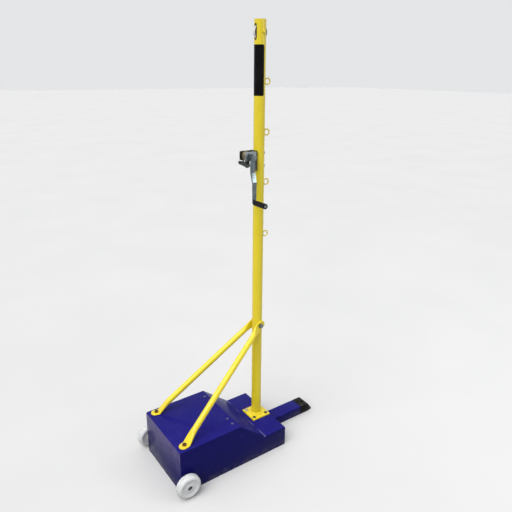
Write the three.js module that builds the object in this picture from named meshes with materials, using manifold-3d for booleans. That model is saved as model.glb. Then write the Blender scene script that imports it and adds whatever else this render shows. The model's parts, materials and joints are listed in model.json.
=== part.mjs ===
// Badminton net post: a round post on a wheeled ballast box, with an outrigger on the floor,
// two braces, a sheave in the head, four net rings and a tensioning winch with a crank.
// Millimetres, +Z up. The origin is on the floor below the post's axis, +X runs along the
// wheel axle and +Y points to the net, so the wheels and the winch are on the -Y side.

import * as THREE from 'three';
import { ParametricGeometry } from 'three/addons/geometries/ParametricGeometry.js';
import { mergeVertices } from 'three/addons/utils/BufferGeometryUtils.js';
import Module from 'manifold-3d';

const wasm = await Module();
wasm.setup();

// Fits and facets
const CLEARANCE = 0.3;
const OVERRUN = 5;
const WELD_TOLERANCE = 0.0005;
const POST_FACETS = 36;
const WHEEL_FACETS = 30;
const ROD_FACETS = 16;
const SMALL_FACETS = 12;
const HEXAGON_FACETS = 6;
const ARC_STEPS = 4;

// Post
const POST_TOP = 1550;
const POST_RADIUS = 19;
const POST_WALL = 2.5;
const POST_CAP_THICKNESS = 3;

// Sheave in the head of the post
const SHEAVE_DROP = 37;
const SHEAVE_RADIUS = 24;
const SHEAVE_WIDTH = 10;
const SHEAVE_GROOVE_DEPTH = 4.5;
const SHEAVE_LIP = 1.5;
const SHEAVE_WEB_RECESS = 1.5;
const SHEAVE_HUB_RADIUS = 9;
const SHEAVE_RIM = 4;
const SLOT_LENGTH = 50;
const SLOT_WIDTH = 14;
const SHEAVE_SPACER_RADIUS = 6.5;

// Rings for the net's ties, two above the winch's axis and two below it
const RING_1_RISE = 237;
const RING_2_RISE = 74;
const RING_3_FALL = 95;
const RING_4_FALL = 284;
const RING_RADIUS = 10;
const RING_WIRE_RADIUS = 2.2;
const RING_STEPS = 20;
const RING_WIRE_FACETS = 8;

// Flange that the post is welded to
const FLANGE_WIDTH = 80;
const FLANGE_THICKNESS = 6;
const FLANGE_CORNER = 1.5;
const FLANGE_HOLE_PITCH = 56;
const FILLET_LEG = 6;

// Ballast box of folded sheet, high at the back and low under the post
const BOX_WIDTH = 276;
const BOX_REAR = 415;
const BOX_FRONT = 44;
const BOX_HEIGHT = 175;
const PLATFORM_HEIGHT = 82;
const SLOPE_TOP_SETBACK = 167;
const SLOPE_FOOT_SETBACK = 54;
const BOX_SHEET = 3;
const BOX_BEND = 5;
const BOX_SIDE_EDGE = 1.5;
const BOX_FLOOR_THICKNESS = 3;

// Ballast slabs inside the high part
const SLAB_COUNT = 4;
const SLAB_WIDTH = 256;
const SLAB_REAR = 384;
const SLAB_FRONT = 190;
const SLAB_CORNER = 3;

// Angle that holds the slabs down, and the three screws that hold the angle
const STOP_LEG = 26;
const STOP_HEIGHT = 27;
const STOP_THICKNESS = 3;
const STOP_LENGTH = 240;
const STOP_SCREW_SETBACK = 182;
const STOP_SCREW_LEFT = 98;
const STOP_SCREW_MIDDLE = 70;
const STOP_SCREW_RIGHT = 104;
const STOP_SCREW_RADIUS = 3;
const STOP_SCREW_HEAD_RADIUS = 5.5;
const STOP_SCREW_HEAD_HEIGHT = 3;
const STOP_SCREW_TIP = 3;

// Wheels and their axle
const WHEEL_RADIUS = 45;
const WHEEL_WIDTH = 30;
const WHEEL_SHOULDER = 12;
const WHEEL_FLOOR_GAP = 4;
const WHEEL_BOX_GAP = 9;
const WHEEL_SETBACK = 400;
const WHEEL_RIM_INNER_RADIUS = 29;
const WHEEL_DISH_RADIUS = 20;
const WHEEL_DISH_DEPTH = 3;
const WHEEL_HUB_RADIUS = 13;
const WHEEL_HUB_RECESS = 1.5;
const WHEEL_POCKET_RADIUS = 8;
const WHEEL_POCKET_DEPTH = 8;
const AXLE_RADIUS = 5;
const AXLE_SPACER_RADIUS = 9;
const AXLE_CLIP_RADIUS = 7.4;
const AXLE_CLIP_THICKNESS = 1.5;
const AXLE_END_RECESS = 4;

// Outrigger tube on the floor in front of the box, and its plastic end
const OUTRIGGER_WIDTH = 60;
const OUTRIGGER_HEIGHT = 40;
const OUTRIGGER_WALL = 2.5;
const OUTRIGGER_CORNER = 4;
const OUTRIGGER_END = 215;
const CAP_TOP_LENGTH = 40;
const CAP_FOOT_LENGTH = 65;
const CAP_TOE_HEIGHT = 6;
const CAP_EDGE = 3;
const CAP_PLUG_LENGTH = 25;

// Braces of round tube with pressed flat ends
const BRACE_RADIUS = 11;
const BRACE_FLAT_WIDTH = 33;
const BRACE_FLAT_THICKNESS = 4.4;
const BRACE_TIP = 20;
const BRACE_FLAT_LENGTH = 8;
const BRACE_CREASE_LENGTH = 4;
const BRACE_PRESS_LENGTH = 46;
const BRACE_JOIN_LENGTH = 46;
const BRACE_JOIN_BEND = 20;
const BRACE_FOOT_SIDE = 112;
const BRACE_FOOT_SETBACK = 384;
const BRACE_HEAD_HEIGHT = 490;
const BRACE_FACETS = 16;
const BRACE_TUBE_STATIONS = 3;
const BRACE_PRESS_STATIONS = 8;
const BRACE_TIP_STATIONS = 4;

// Winch on the back of the post, with the drop of its axis below the post's top, and its crank
const WINCH_DROP = 421;
const WINCH_SETBACK = 47;
const BRACKET_WIDTH = 36;
const BRACKET_SHEET = 3;
const BRACKET_WEB = 4;
const BRACKET_WEB_RISE = 17;
const BRACKET_WEB_DROP = 49;
const BRACKET_SIDE_HALF_HEIGHT = 15.5;
const BRACKET_SIDE_REACH = 20;
const BRACKET_CORNER = 5;
const LUG_RADIUS = 9;
const SHAFT_RADIUS = 5;
const SHAFT_STUB = 4;
const DRUM_CORE_RADIUS = 11;
const DRUM_FLANGE_RADIUS = 15;
const DRUM_FLANGE = 2;
const CORD_HOLE_RADIUS = 2.5;
const RATCHET_WIDTH = 5;
const RATCHET_RADIUS = 15.5;
const RATCHET_ROOT_RADIUS = 12.5;
const RATCHET_TEETH = 12;
const PAWL_PIVOT_FORWARD = 10;
const PAWL_PIVOT_DROP = 35;
const PAWL_HUB_RADIUS = 7.5;
const PAWL_NOSE_RADIUS = 1;
const PAWL_NOSE_REACH = 14.8;
const PAWL_NOSE_ANGLE = 237.5;
const PAWL_NOSE_GAP = 1;
const PAWL_ROOT_RADIUS = 4;
const PAWL_ROOT_SHARE = 0.62;
const PAWL_TAIL_RADIUS = 6;
const PAWL_TAIL_BACK = 32;
const PAWL_TAIL_RISE = 13;
const PAWL_PIN_RADIUS = 3;
const PAWL_PIN_HEAD_RADIUS = 5;
const PAWL_PIN_HEAD_HEIGHT = 2;
const PAWL_PIN_STUB = 3;
const CRANK_BOSS_RADIUS = 9;
const CRANK_BOSS_LENGTH = 11;
const CRANK_THICKNESS = 5;
const CRANK_HEAD_RADIUS = 9.5;
const CRANK_FOOT_RADIUS = 6.5;
const CRANK_RADIUS = 152.5;
const CRANK_OFFSET = 10;
const CRANK_OFFSET_START = 54;
const CRANK_OFFSET_END = 86;
const CRANK_BEND = 6;
const GRIP_RADIUS = 9.5;
const GRIP_LENGTH = 63;
const GRIP_EDGE = 1.5;
const GRIP_PIN_RADIUS = 4;
const GRIP_PIN_HEAD_RADIUS = 6;
const GRIP_PIN_HEAD_HEIGHT = 3;
const GRIP_PIN_RECESS = 1;
const GRIP_PIN_RIVET = 1.5;
const WINCH_BOLT_RISE = 6;
const WINCH_BOLT_DROP = 37;

// Standard fasteners: shank radius, width across the hexagon's flats, heights of head and
// nut, and the length that stands out of the nut. Domed heads of the M8 size have a radius
// and a height of their own.
const M6 = { shank: 3, across: 10, head: 4, nut: 5, end: 1.5 };
const M8 = { shank: 4, across: 13, head: 5.3, nut: 6.5, end: 2 };
const M10 = { shank: 5, across: 16, head: 6.4, nut: 8, end: 2.5 };
const DOME_RADIUS = 7;
const DOME_HEIGHT = 3.5;
const DOME_STEPS = 3;

// Derived places
const HOLE_M6 = M6.shank + CLEARANCE;
const HOLE_M8 = M8.shank + CLEARANCE;
const HOLE_M10 = M10.shank + CLEARANCE;
const FLANGE_BASE = PLATFORM_HEIGHT + CLEARANCE;
const FLANGE_TOP = FLANGE_BASE + FLANGE_THICKNESS;
const POST_BASE = FLANGE_TOP + CLEARANCE;
const POST_BORE = POST_RADIUS - POST_WALL;
const POST_SEAT = POST_RADIUS + CLEARANCE;
const SHEAVE_HEIGHT = POST_TOP - SHEAVE_DROP;
const WINCH_HEIGHT = POST_TOP - WINCH_DROP;
const BOX_SIDE = BOX_WIDTH / 2;
const STOP_TOP = BOX_HEIGHT - BOX_SHEET - CLEARANCE;
const STOP_BASE = STOP_TOP - STOP_HEIGHT;
const SLAB_BASE = BOX_FLOOR_THICKNESS + CLEARANCE;
const SLAB_PITCH = (STOP_BASE - SLAB_BASE) / SLAB_COUNT;
const AXLE_HEIGHT = WHEEL_RADIUS + WHEEL_FLOOR_GAP;
const WHEEL_INNER = BOX_SIDE + WHEEL_BOX_GAP;
const WHEEL_OUTER = WHEEL_INNER + WHEEL_WIDTH;
const BRACE_PRESS_START = BRACE_TIP + BRACE_FLAT_LENGTH;
const WEB_FACE = POST_SEAT + BRACKET_WEB;
const BRACKET_SIDE = BRACKET_WIDTH / 2;
const BRACKET_INNER = BRACKET_SIDE - BRACKET_SHEET;
const DRUM_SIDE = BRACKET_INNER - CLEARANCE;
const RATCHET_INNER = DRUM_SIDE - RATCHET_WIDTH;
const CRANK_INNER = BRACKET_SIDE + CLEARANCE + CRANK_BOSS_LENGTH;
const CRANK_MIDDLE = CRANK_INNER + CRANK_THICKNESS / 2;
const GRIP_START = CRANK_INNER + CRANK_THICKNESS + CRANK_OFFSET + CLEARANCE;
const GRIP_END = GRIP_START + GRIP_LENGTH;

// Finishes
function finish(color, roughness, metalness) {
  return new THREE.MeshStandardMaterial({ color, roughness, metalness });
}
const YELLOW_COAT = finish(0xe9c50e, 0.35, 0.0);
const BLUE_COAT = finish(0x1d1d8f, 0.2, 0.0);
const ZINC = finish(0x9aa0a3, 0.4, 0.9);
const DARK_STEEL = finish(0x2c2a28, 0.5, 0.7);
const BRONZE = finish(0x4a3a24, 0.55, 0.6);
const CAST_IRON = finish(0x3a3a3c, 0.8, 0.5);
const WHITE_PLASTIC = finish(0xdedbd2, 0.45, 0.0);
const BLACK_PLASTIC = finish(0x131313, 0.5, 0.0);

// The two sides of the post, with the sign that each has on the X axis
const SIDES = [['near', 1], ['far', -1]];

// Solids from geometries

// Keeps the positions, joins shared vertices and leaves out triangles that have no area.
function weld(geometry) {
  const bare = geometry.clone();
  bare.deleteAttribute('normal');
  bare.deleteAttribute('uv');
  const merged = mergeVertices(bare, WELD_TOLERANCE);
  const corners = merged.index.array;
  const kept = [];
  for (let i = 0; i < corners.length; i += 3) {
    const [a, b, c] = [corners[i], corners[i + 1], corners[i + 2]];
    if (a !== b && b !== c && c !== a) kept.push(a, b, c);
  }
  if (signedVolume(merged.attributes.position, kept) < 0) kept.reverse();
  merged.setIndex(kept);
  return merged;
}

function signedVolume(position, corners) {
  const [a, b, c] = [new THREE.Vector3(), new THREE.Vector3(), new THREE.Vector3()];
  let sum = 0;
  for (let i = 0; i < corners.length; i += 3) {
    a.fromBufferAttribute(position, corners[i]);
    b.fromBufferAttribute(position, corners[i + 1]);
    c.fromBufferAttribute(position, corners[i + 2]);
    sum += a.dot(b.cross(c));
  }
  return sum / 6;
}

function solid(geometry) {
  const closed = weld(geometry);
  const vertProperties = new Float32Array(closed.attributes.position.array);
  const triVerts = new Uint32Array(closed.index.array);
  return new wasm.Manifold(new wasm.Mesh({ numProp: 3, vertProperties, triVerts }));
}

function joined(solids) {
  return solids.reduce((sum, next) => sum.add(next));
}

function cut(body, tools) {
  return tools.reduce((rest, tool) => rest.subtract(tool), body);
}

// One mesh of the scene, made from a finished solid.
function piece(name, material, body) {
  const mesh = body.getMesh();
  const geometry = new THREE.BufferGeometry();
  geometry.setAttribute('position', new THREE.BufferAttribute(mesh.vertProperties, 3));
  geometry.setIndex(new THREE.BufferAttribute(mesh.triVerts, 1));
  geometry.computeVertexNormals();
  const part = new THREE.Mesh(geometry, material);
  part.name = name;
  return part;
}

// A piece and its twin on the other side of the post.
function pair(name, material, form) {
  return SIDES.map(([side, sign]) => piece(`${name}_${side}`, material, form(sign)));
}

// Equal pieces at several places, numbered from one.
function row(name, material, places, form) {
  return places.map((place, i) => piece(`${name}_${i + 1}`, material, form(place)));
}

// Basic forms

// Turns a form made about the Y axis so that +Y points along the named axis.
function turnTo(geometry, axis) {
  if (axis === 'x') geometry.rotateZ(-Math.PI / 2);
  if (axis === 'z') geometry.rotateX(Math.PI / 2);
  return geometry;
}

function rod(axis, radius, from, to, facets = ROD_FACETS) {
  const geometry = new THREE.CylinderGeometry(radius, radius, Math.abs(to - from), facets);
  geometry.translate(0, (from + to) / 2, 0);
  return turnTo(geometry, axis);
}

function hexagon(axis, across, from, to) {
  return rod(axis, across / Math.sqrt(3), from, to, HEXAGON_FACETS);
}

function sleeve(axis, radius, bore, from, to, facets = ROD_FACETS) {
  const outside = solid(rod(axis, radius, from, to, facets));
  const run = Math.sign(to - from) * OVERRUN;
  return outside.subtract(solid(rod(axis, bore, from - run, to + run, facets)));
}

// Revolves a profile of [radius, place along the axis] points.
function revolved(axis, profile, facets) {
  const points = profile.map(([radius, along]) => new THREE.Vector2(radius, along));
  return turnTo(new THREE.LatheGeometry(points, facets), axis);
}

// An outline through corners of [x, y, radius], each rounded by an arc of its radius.
function roundedOutline(corners) {
  return new THREE.Shape(corners.flatMap(([x, y, radius], i) => {
    const corner = new THREE.Vector2(x, y);
    const before = new THREE.Vector2(...corners.at(i - 1));
    const after = new THREE.Vector2(...corners[(i + 1) % corners.length]);
    return radius > 0 ? cornerArc(corner, before, after, radius) : [corner];
  }));
}

// The points of the arc that rounds a corner between its two neighbours.
function cornerArc(corner, before, after, radius) {
  const back = before.sub(corner).normalize();
  const ahead = after.sub(corner).normalize();
  const half = Math.acos(THREE.MathUtils.clamp(back.dot(ahead), -1, 1)) / 2;
  const bisector = back.clone().add(ahead).normalize();
  const centre = bisector.multiplyScalar(radius / Math.sin(half)).add(corner);
  const reach = radius / Math.tan(half);
  const start = back.multiplyScalar(reach).add(corner).sub(centre);
  const end = ahead.multiplyScalar(reach).add(corner).sub(centre);
  const clockwise = start.cross(end) < 0;
  const arc = new THREE.EllipseCurve(
    centre.x, centre.y, radius, radius, start.angle(), end.angle(), clockwise,
  );
  return arc.getPoints(ARC_STEPS);
}

function roundedRectangle(left, bottom, right, top, radius) {
  return roundedOutline([
    [left, bottom, radius], [right, bottom, radius],
    [right, top, radius], [left, top, radius],
  ]);
}

// The outline round two circles, the second one at (x, y) from the first.
function linkOutline(radius, endRadius, x, y) {
  const length = Math.hypot(x, y);
  const turn = Math.atan2(y, x);
  const tangent = Math.acos((radius - endRadius) / length);
  const shape = new THREE.Shape();
  shape.absarc(0, 0, radius, turn + tangent, turn - tangent + 2 * Math.PI, false);
  shape.absarc(x, y, endRadius, turn - tangent, turn + tangent, false);
  shape.closePath();
  return shape;
}

// Extrudes an outline drawn in (X, Y) upward from one height to another.
function raised(shape, from, to, edge = 0) {
  const settings = {
    depth: to - from - 2 * edge,
    curveSegments: ARC_STEPS,
    bevelEnabled: edge > 0,
    bevelSize: edge,
    bevelThickness: edge,
    bevelOffset: -edge,
    bevelSegments: 1,
  };
  return new THREE.ExtrudeGeometry(shape, settings).translate(0, 0, from + edge);
}

// Extrudes an outline drawn in (Y, Z) along X.
function spanned(shape, from, to, edge = 0) {
  return raised(shape, from, to, edge).rotateX(Math.PI / 2).rotateZ(Math.PI / 2);
}

// Extrudes an outline drawn in (X, Z) along Y.
function advanced(shape, from, to) {
  return raised(shape, -to, -from).rotateX(Math.PI / 2);
}

function moved(geometry, x, y, z) {
  return geometry.translate(x, y, z);
}

// Fasteners, drawn along an axis with the seat of the head at zero

function bolt(axis, size, grip) {
  return [
    hexagon(axis, size.across, 0, size.head),
    rod(axis, size.shank, -grip, size.head / 2, SMALL_FACETS),
  ];
}

function boltAt(axis, size, grip, x, y, z) {
  return joined(bolt(axis, size, grip).map((form) => solid(moved(form, x, y, z))));
}

// A screw along +Z with a domed head that sits at the seat.
function domedScrew(radius, height, shank, seat, tip) {
  const head = [[0, seat], [radius, seat]];
  for (let i = 1; i <= DOME_STEPS; i += 1) {
    const turn = (Math.PI * i) / (2 * DOME_STEPS);
    head.push([radius * Math.cos(turn), seat + height * Math.sin(turn)]);
  }
  return joined([
    solid(revolved('z', head, ROD_FACETS)),
    solid(rod('z', shank, tip, seat + height / 2, SMALL_FACETS)),
  ]);
}

function nutAt(axis, size, from, x, y, z) {
  const body = solid(moved(hexagon(axis, size.across, from, from + size.nut), x, y, z));
  const bore = rod(axis, size.shank + CLEARANCE, from - OVERRUN, from + size.nut + OVERRUN, SMALL_FACETS);
  return body.subtract(solid(moved(bore, x, y, z)));
}

// Post with its head slot, cross holes and top plate

function postTube() {
  const wall = new THREE.Shape().absarc(0, 0, POST_RADIUS, 0, 2 * Math.PI, false);
  wall.holes.push(new THREE.Path().absarc(0, 0, POST_BORE, 0, 2 * Math.PI, true));
  const depth = POST_TOP - POST_BASE;
  const settings = { depth, bevelEnabled: false, curveSegments: POST_FACETS / 2 };
  const tube = solid(moved(new THREE.ExtrudeGeometry(wall, settings), 0, 0, POST_BASE));
  const reach = POST_RADIUS + OVERRUN;
  const slotEnd = SLOT_WIDTH / 2;
  const slot = advanced(linkOutline(slotEnd, slotEnd, 0, SLOT_LENGTH - SLOT_WIDTH), -reach, reach);
  return cut(tube, [
    solid(moved(slot, 0, 0, SHEAVE_HEIGHT - SLOT_LENGTH / 2 + slotEnd)),
    solid(moved(rod('x', HOLE_M6, -reach, reach), 0, 0, SHEAVE_HEIGHT)),
    solid(moved(rod('x', HOLE_M10, -reach, reach), 0, 0, BRACE_HEAD_HEIGHT)),
    solid(moved(rod('y', HOLE_M8, -reach, reach), 0, 0, WINCH_HEIGHT + WINCH_BOLT_RISE)),
    solid(moved(rod('y', HOLE_M8, -reach, reach), 0, 0, WINCH_HEIGHT - WINCH_BOLT_DROP)),
  ]);
}

function postCap() {
  const radius = POST_BORE - CLEARANCE;
  return solid(rod('z', radius, POST_TOP - POST_CAP_THICKNESS, POST_TOP, POST_FACETS));
}

// Sheave, its bolt, nut and spacers

function sheave() {
  const side = SHEAVE_WIDTH / 2;
  const bore = HOLE_M6;
  const webSide = side - SHEAVE_WEB_RECESS;
  const rimInner = SHEAVE_RADIUS - SHEAVE_GROOVE_DEPTH - SHEAVE_RIM;
  const grooveSide = side - SHEAVE_LIP;
  const profile = [
    [bore, -side], [SHEAVE_HUB_RADIUS, -side], [SHEAVE_HUB_RADIUS, -webSide],
    [rimInner, -webSide], [rimInner, -side], [SHEAVE_RADIUS, -side],
    [SHEAVE_RADIUS, -grooveSide],
  ];
  for (let i = 1; i < ARC_STEPS; i += 1) {
    const turn = (Math.PI * i) / ARC_STEPS;
    const radius = SHEAVE_RADIUS - SHEAVE_GROOVE_DEPTH * Math.sin(turn);
    profile.push([radius, -grooveSide * Math.cos(turn)]);
  }
  profile.push(
    [SHEAVE_RADIUS, grooveSide], [SHEAVE_RADIUS, side], [rimInner, side],
    [rimInner, webSide], [SHEAVE_HUB_RADIUS, webSide], [SHEAVE_HUB_RADIUS, side],
    [bore, side], [bore, -side],
  );
  return solid(moved(revolved('x', profile, WHEEL_FACETS), 0, 0, SHEAVE_HEIGHT));
}

// A short tube whose outer end follows the round bore of the post.
function sheaveSpacer(side) {
  const end = POST_BORE - CLEARANCE;
  const tube = sleeve('x', SHEAVE_SPACER_RADIUS, HOLE_M6, SHEAVE_WIDTH / 2 + CLEARANCE, end);
  const half = SHEAVE_SPACER_RADIUS + OVERRUN;
  const shaped = tube.intersect(solid(rod('z', end, -half, half, POST_FACETS)));
  const turned = side > 0 ? shaped : shaped.rotate([0, 0, 180]);
  return turned.translate([0, 0, SHEAVE_HEIGHT]);
}

function sheaveBolt() {
  const grip = 2 * POST_SEAT + M6.nut + M6.end;
  return boltAt('x', M6, grip, POST_SEAT, 0, SHEAVE_HEIGHT);
}

function sheaveNut() {
  return nutAt('x', M6, -POST_SEAT - M6.nut, 0, 0, SHEAVE_HEIGHT);
}

// Net rings, each a closed ring of round wire against the front of the post

function ringHeights() {
  return [
    WINCH_HEIGHT + RING_1_RISE, WINCH_HEIGHT + RING_2_RISE,
    WINCH_HEIGHT - RING_3_FALL, WINCH_HEIGHT - RING_4_FALL,
  ];
}

function netRing(height) {
  const ring = new THREE.TorusGeometry(RING_RADIUS, RING_WIRE_RADIUS, RING_WIRE_FACETS, RING_STEPS);
  const centre = POST_SEAT + RING_WIRE_RADIUS + RING_RADIUS;
  return solid(moved(ring.rotateY(Math.PI / 2), 0, centre, height));
}

// Flange with the weld that rises to the post

function footFlange() {
  const half = FLANGE_WIDTH / 2;
  const plate = solid(raised(
    roundedRectangle(-half, -half, half, half, FLANGE_CORNER), FLANGE_BASE, FLANGE_TOP,
  ));
  const inner = POST_SEAT;
  const fillet = [
    [inner, FLANGE_TOP - FLANGE_THICKNESS / 2], [inner + FILLET_LEG, FLANGE_TOP - FLANGE_THICKNESS / 2],
    [inner + FILLET_LEG, FLANGE_TOP],
  ];
  for (let i = 1; i < ARC_STEPS; i += 1) {
    const turn = (Math.PI * i) / (2 * ARC_STEPS);
    const radius = inner + FILLET_LEG * (1 - Math.sin(turn));
    fillet.push([radius, FLANGE_TOP + FILLET_LEG * (1 - Math.cos(turn))]);
  }
  fillet.push([inner, FLANGE_TOP + FILLET_LEG], [inner, FLANGE_TOP - FLANGE_THICKNESS / 2]);
  const holes = flangeHolePlaces().map(([x, y]) => (
    solid(moved(rod('z', HOLE_M8, FLANGE_BASE - OVERRUN, FLANGE_TOP + OVERRUN), x, y, 0))
  ));
  return cut(plate.add(solid(revolved('z', fillet, POST_FACETS))), holes);
}

function flangeHolePlaces() {
  const at = FLANGE_HOLE_PITCH / 2;
  return [[at, at], [-at, at], [-at, -at], [at, -at]];
}

function flangeBolt([x, y]) {
  const seat = FLANGE_TOP + CLEARANCE;
  const tip = nutTop(PLATFORM_HEIGHT) - M8.nut - M8.end;
  return domedScrew(DOME_RADIUS, DOME_HEIGHT, M8.shank, seat, tip).translate([x, y, 0]);
}

function flangeNut([x, y]) {
  return nutAt('z', M8, nutTop(PLATFORM_HEIGHT) - M8.nut, x, y, 0);
}

// The seat of a nut under the box's sheet, whose outer face is at the given height.
function nutTop(height) {
  return height - BOX_SHEET - CLEARANCE;
}

// Ballast box, its floor, slabs and hold-down angle

function boxProfile(inset, bottom) {
  const slope = Math.atan2(BOX_HEIGHT - PLATFORM_HEIGHT, SLOPE_TOP_SETBACK - SLOPE_FOOT_SETBACK);
  const shift = inset * Math.tan(slope / 2);
  const convex = BOX_BEND - inset;
  return roundedOutline([
    [-BOX_REAR + inset, bottom, 0],
    [BOX_FRONT - inset, bottom, 0],
    [BOX_FRONT - inset, PLATFORM_HEIGHT - inset, convex],
    [-SLOPE_FOOT_SETBACK - shift, PLATFORM_HEIGHT - inset, BOX_BEND + inset],
    [-SLOPE_TOP_SETBACK - shift, BOX_HEIGHT - inset, convex],
    [-BOX_REAR + inset, BOX_HEIGHT - inset, convex],
  ]);
}

function ballastBox() {
  const outside = solid(spanned(boxProfile(0, 0), -BOX_SIDE, BOX_SIDE, BOX_SIDE_EDGE));
  const inner = BOX_SIDE - BOX_SHEET;
  const inside = solid(spanned(boxProfile(BOX_SHEET, -OVERRUN), -inner, inner));
  const axleHole = moved(rod('x', AXLE_RADIUS + CLEARANCE, -WHEEL_INNER, WHEEL_INNER),
    0, -WHEEL_SETBACK, AXLE_HEIGHT);
  const flangeHoles = flangeHolePlaces().map(([x, y]) => (
    solid(moved(rod('z', HOLE_M8, PLATFORM_HEIGHT - BOX_SHEET - OVERRUN, FLANGE_TOP), x, y, 0))
  ));
  const footHoles = SIDES.map(([, sign]) => solid(moved(
    rod('z', HOLE_M8, BOX_HEIGHT - BOX_SHEET - OVERRUN, BOX_HEIGHT + OVERRUN),
    sign * BRACE_FOOT_SIDE, -BRACE_FOOT_SETBACK, 0,
  )));
  const screwHoles = stopScrewPlaces().map((x) => stopScrewHole(x));
  return cut(outside, [inside, solid(axleHole), ...flangeHoles, ...footHoles, ...screwHoles]);
}

function boxFloor() {
  const side = BOX_SIDE - BOX_SHEET - CLEARANCE;
  const rear = -BOX_REAR + BOX_SHEET + CLEARANCE;
  const front = BOX_FRONT - BOX_SHEET - CLEARANCE;
  const plate = roundedRectangle(-side, rear, side, front, BOX_BEND);
  return solid(raised(plate, 0, BOX_FLOOR_THICKNESS));
}

function ballastSlab(number) {
  const side = SLAB_WIDTH / 2;
  const plan = roundedRectangle(-side, -SLAB_REAR, side, -SLAB_FRONT, SLAB_CORNER);
  const base = SLAB_BASE + number * SLAB_PITCH;
  return solid(raised(plan, base, base + SLAB_PITCH - CLEARANCE));
}

function stopScrewPlaces() {
  return [-STOP_SCREW_LEFT, STOP_SCREW_MIDDLE, STOP_SCREW_RIGHT];
}

function stopScrewHole(x) {
  const top = BOX_HEIGHT + OVERRUN;
  const bottom = BOX_HEIGHT - BOX_SHEET - STOP_THICKNESS - OVERRUN;
  const hole = rod('z', STOP_SCREW_RADIUS + CLEARANCE, bottom, top, SMALL_FACETS);
  return solid(moved(hole, x, -STOP_SCREW_SETBACK, 0));
}

function ballastStop() {
  const rear = -STOP_SCREW_SETBACK - STOP_LEG / 2;
  const front = rear + STOP_LEG;
  const angle = roundedOutline([
    [rear, STOP_BASE, 0],
    [rear + STOP_THICKNESS, STOP_BASE, 0],
    [rear + STOP_THICKNESS, STOP_TOP - STOP_THICKNESS, STOP_THICKNESS],
    [front, STOP_TOP - STOP_THICKNESS, 0],
    [front, STOP_TOP, 0],
    [rear, STOP_TOP, 0],
  ]);
  const bar = solid(spanned(angle, -STOP_LENGTH / 2, STOP_LENGTH / 2));
  return cut(bar, stopScrewPlaces().map((x) => stopScrewHole(x)));
}

function stopScrew(x) {
  const seat = BOX_HEIGHT + CLEARANCE;
  const tip = BOX_HEIGHT - BOX_SHEET - STOP_THICKNESS - STOP_SCREW_TIP;
  const screw = domedScrew(STOP_SCREW_HEAD_RADIUS, STOP_SCREW_HEAD_HEIGHT, STOP_SCREW_RADIUS, seat, tip);
  return screw.translate([x, -STOP_SCREW_SETBACK, 0]);
}

// Wheels with a round tread, a dished face and a pocket in the hub

// The face from the edge of the hub to the middle of the tread.
function wheelFace() {
  const side = WHEEL_WIDTH / 2;
  const profile = [
    [WHEEL_HUB_RADIUS, side - WHEEL_HUB_RECESS],
    [WHEEL_DISH_RADIUS, side - WHEEL_DISH_DEPTH],
    [WHEEL_RIM_INNER_RADIUS, side - WHEEL_HUB_RECESS],
    [WHEEL_RADIUS - WHEEL_SHOULDER, side],
  ];
  for (let i = 1; i <= ARC_STEPS; i += 1) {
    const turn = (Math.PI * i) / (2 * ARC_STEPS);
    const radius = WHEEL_RADIUS - WHEEL_SHOULDER * (1 - Math.sin(turn));
    profile.push([radius, side - WHEEL_SHOULDER * (1 - Math.cos(turn))]);
  }
  return profile;
}

function wheel(direction) {
  const outer = wheelFace();
  const inner = outer.map(([radius, along]) => [radius, -along]).reverse();
  const bore = AXLE_RADIUS + CLEARANCE;
  const hub = WHEEL_WIDTH / 2 - WHEEL_HUB_RECESS;
  const floor = hub - WHEEL_POCKET_DEPTH;
  const profile = [
    [bore, floor], [WHEEL_POCKET_RADIUS, floor], [WHEEL_POCKET_RADIUS, hub],
    ...outer, ...inner, [bore, -hub], [bore, floor],
  ];
  const centre = direction * (WHEEL_INNER + WHEEL_WIDTH / 2);
  const form = revolved('x', profile.map(([radius, along]) => [radius, direction * along]), WHEEL_FACETS);
  return solid(moved(form, centre, -WHEEL_SETBACK, AXLE_HEIGHT));
}

function hubFace() {
  return WHEEL_OUTER - WHEEL_HUB_RECESS;
}

function wheelAxle() {
  const end = hubFace() - AXLE_END_RECESS;
  return solid(moved(rod('x', AXLE_RADIUS, -end, end), 0, -WHEEL_SETBACK, AXLE_HEIGHT));
}

function ringOnAxle(radius, from, to) {
  const ring = sleeve('x', radius, AXLE_RADIUS + CLEARANCE, from, to);
  return ring.translate([0, -WHEEL_SETBACK, AXLE_HEIGHT]);
}

function axleSpacer(side) {
  const to = WHEEL_INNER + WHEEL_HUB_RECESS - CLEARANCE;
  return ringOnAxle(AXLE_SPACER_RADIUS, side * (BOX_SIDE + CLEARANCE), side * to);
}

function axleClip(side) {
  const from = hubFace() - WHEEL_POCKET_DEPTH + CLEARANCE;
  return ringOnAxle(AXLE_CLIP_RADIUS, side * from, side * (from + AXLE_CLIP_THICKNESS));
}

// Outrigger

function outriggerSection(inset, from, to) {
  const side = OUTRIGGER_WIDTH / 2 - inset;
  const radius = Math.max(OUTRIGGER_CORNER - inset, CLEARANCE);
  const outline = roundedRectangle(-side, inset, side, OUTRIGGER_HEIGHT - inset, radius);
  return solid(advanced(outline, from, to));
}

function outriggerTube() {
  const from = BOX_FRONT + CLEARANCE;
  const bore = outriggerSection(OUTRIGGER_WALL, from - OVERRUN, OUTRIGGER_END + OVERRUN);
  return outriggerSection(0, from, OUTRIGGER_END).subtract(bore);
}

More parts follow.
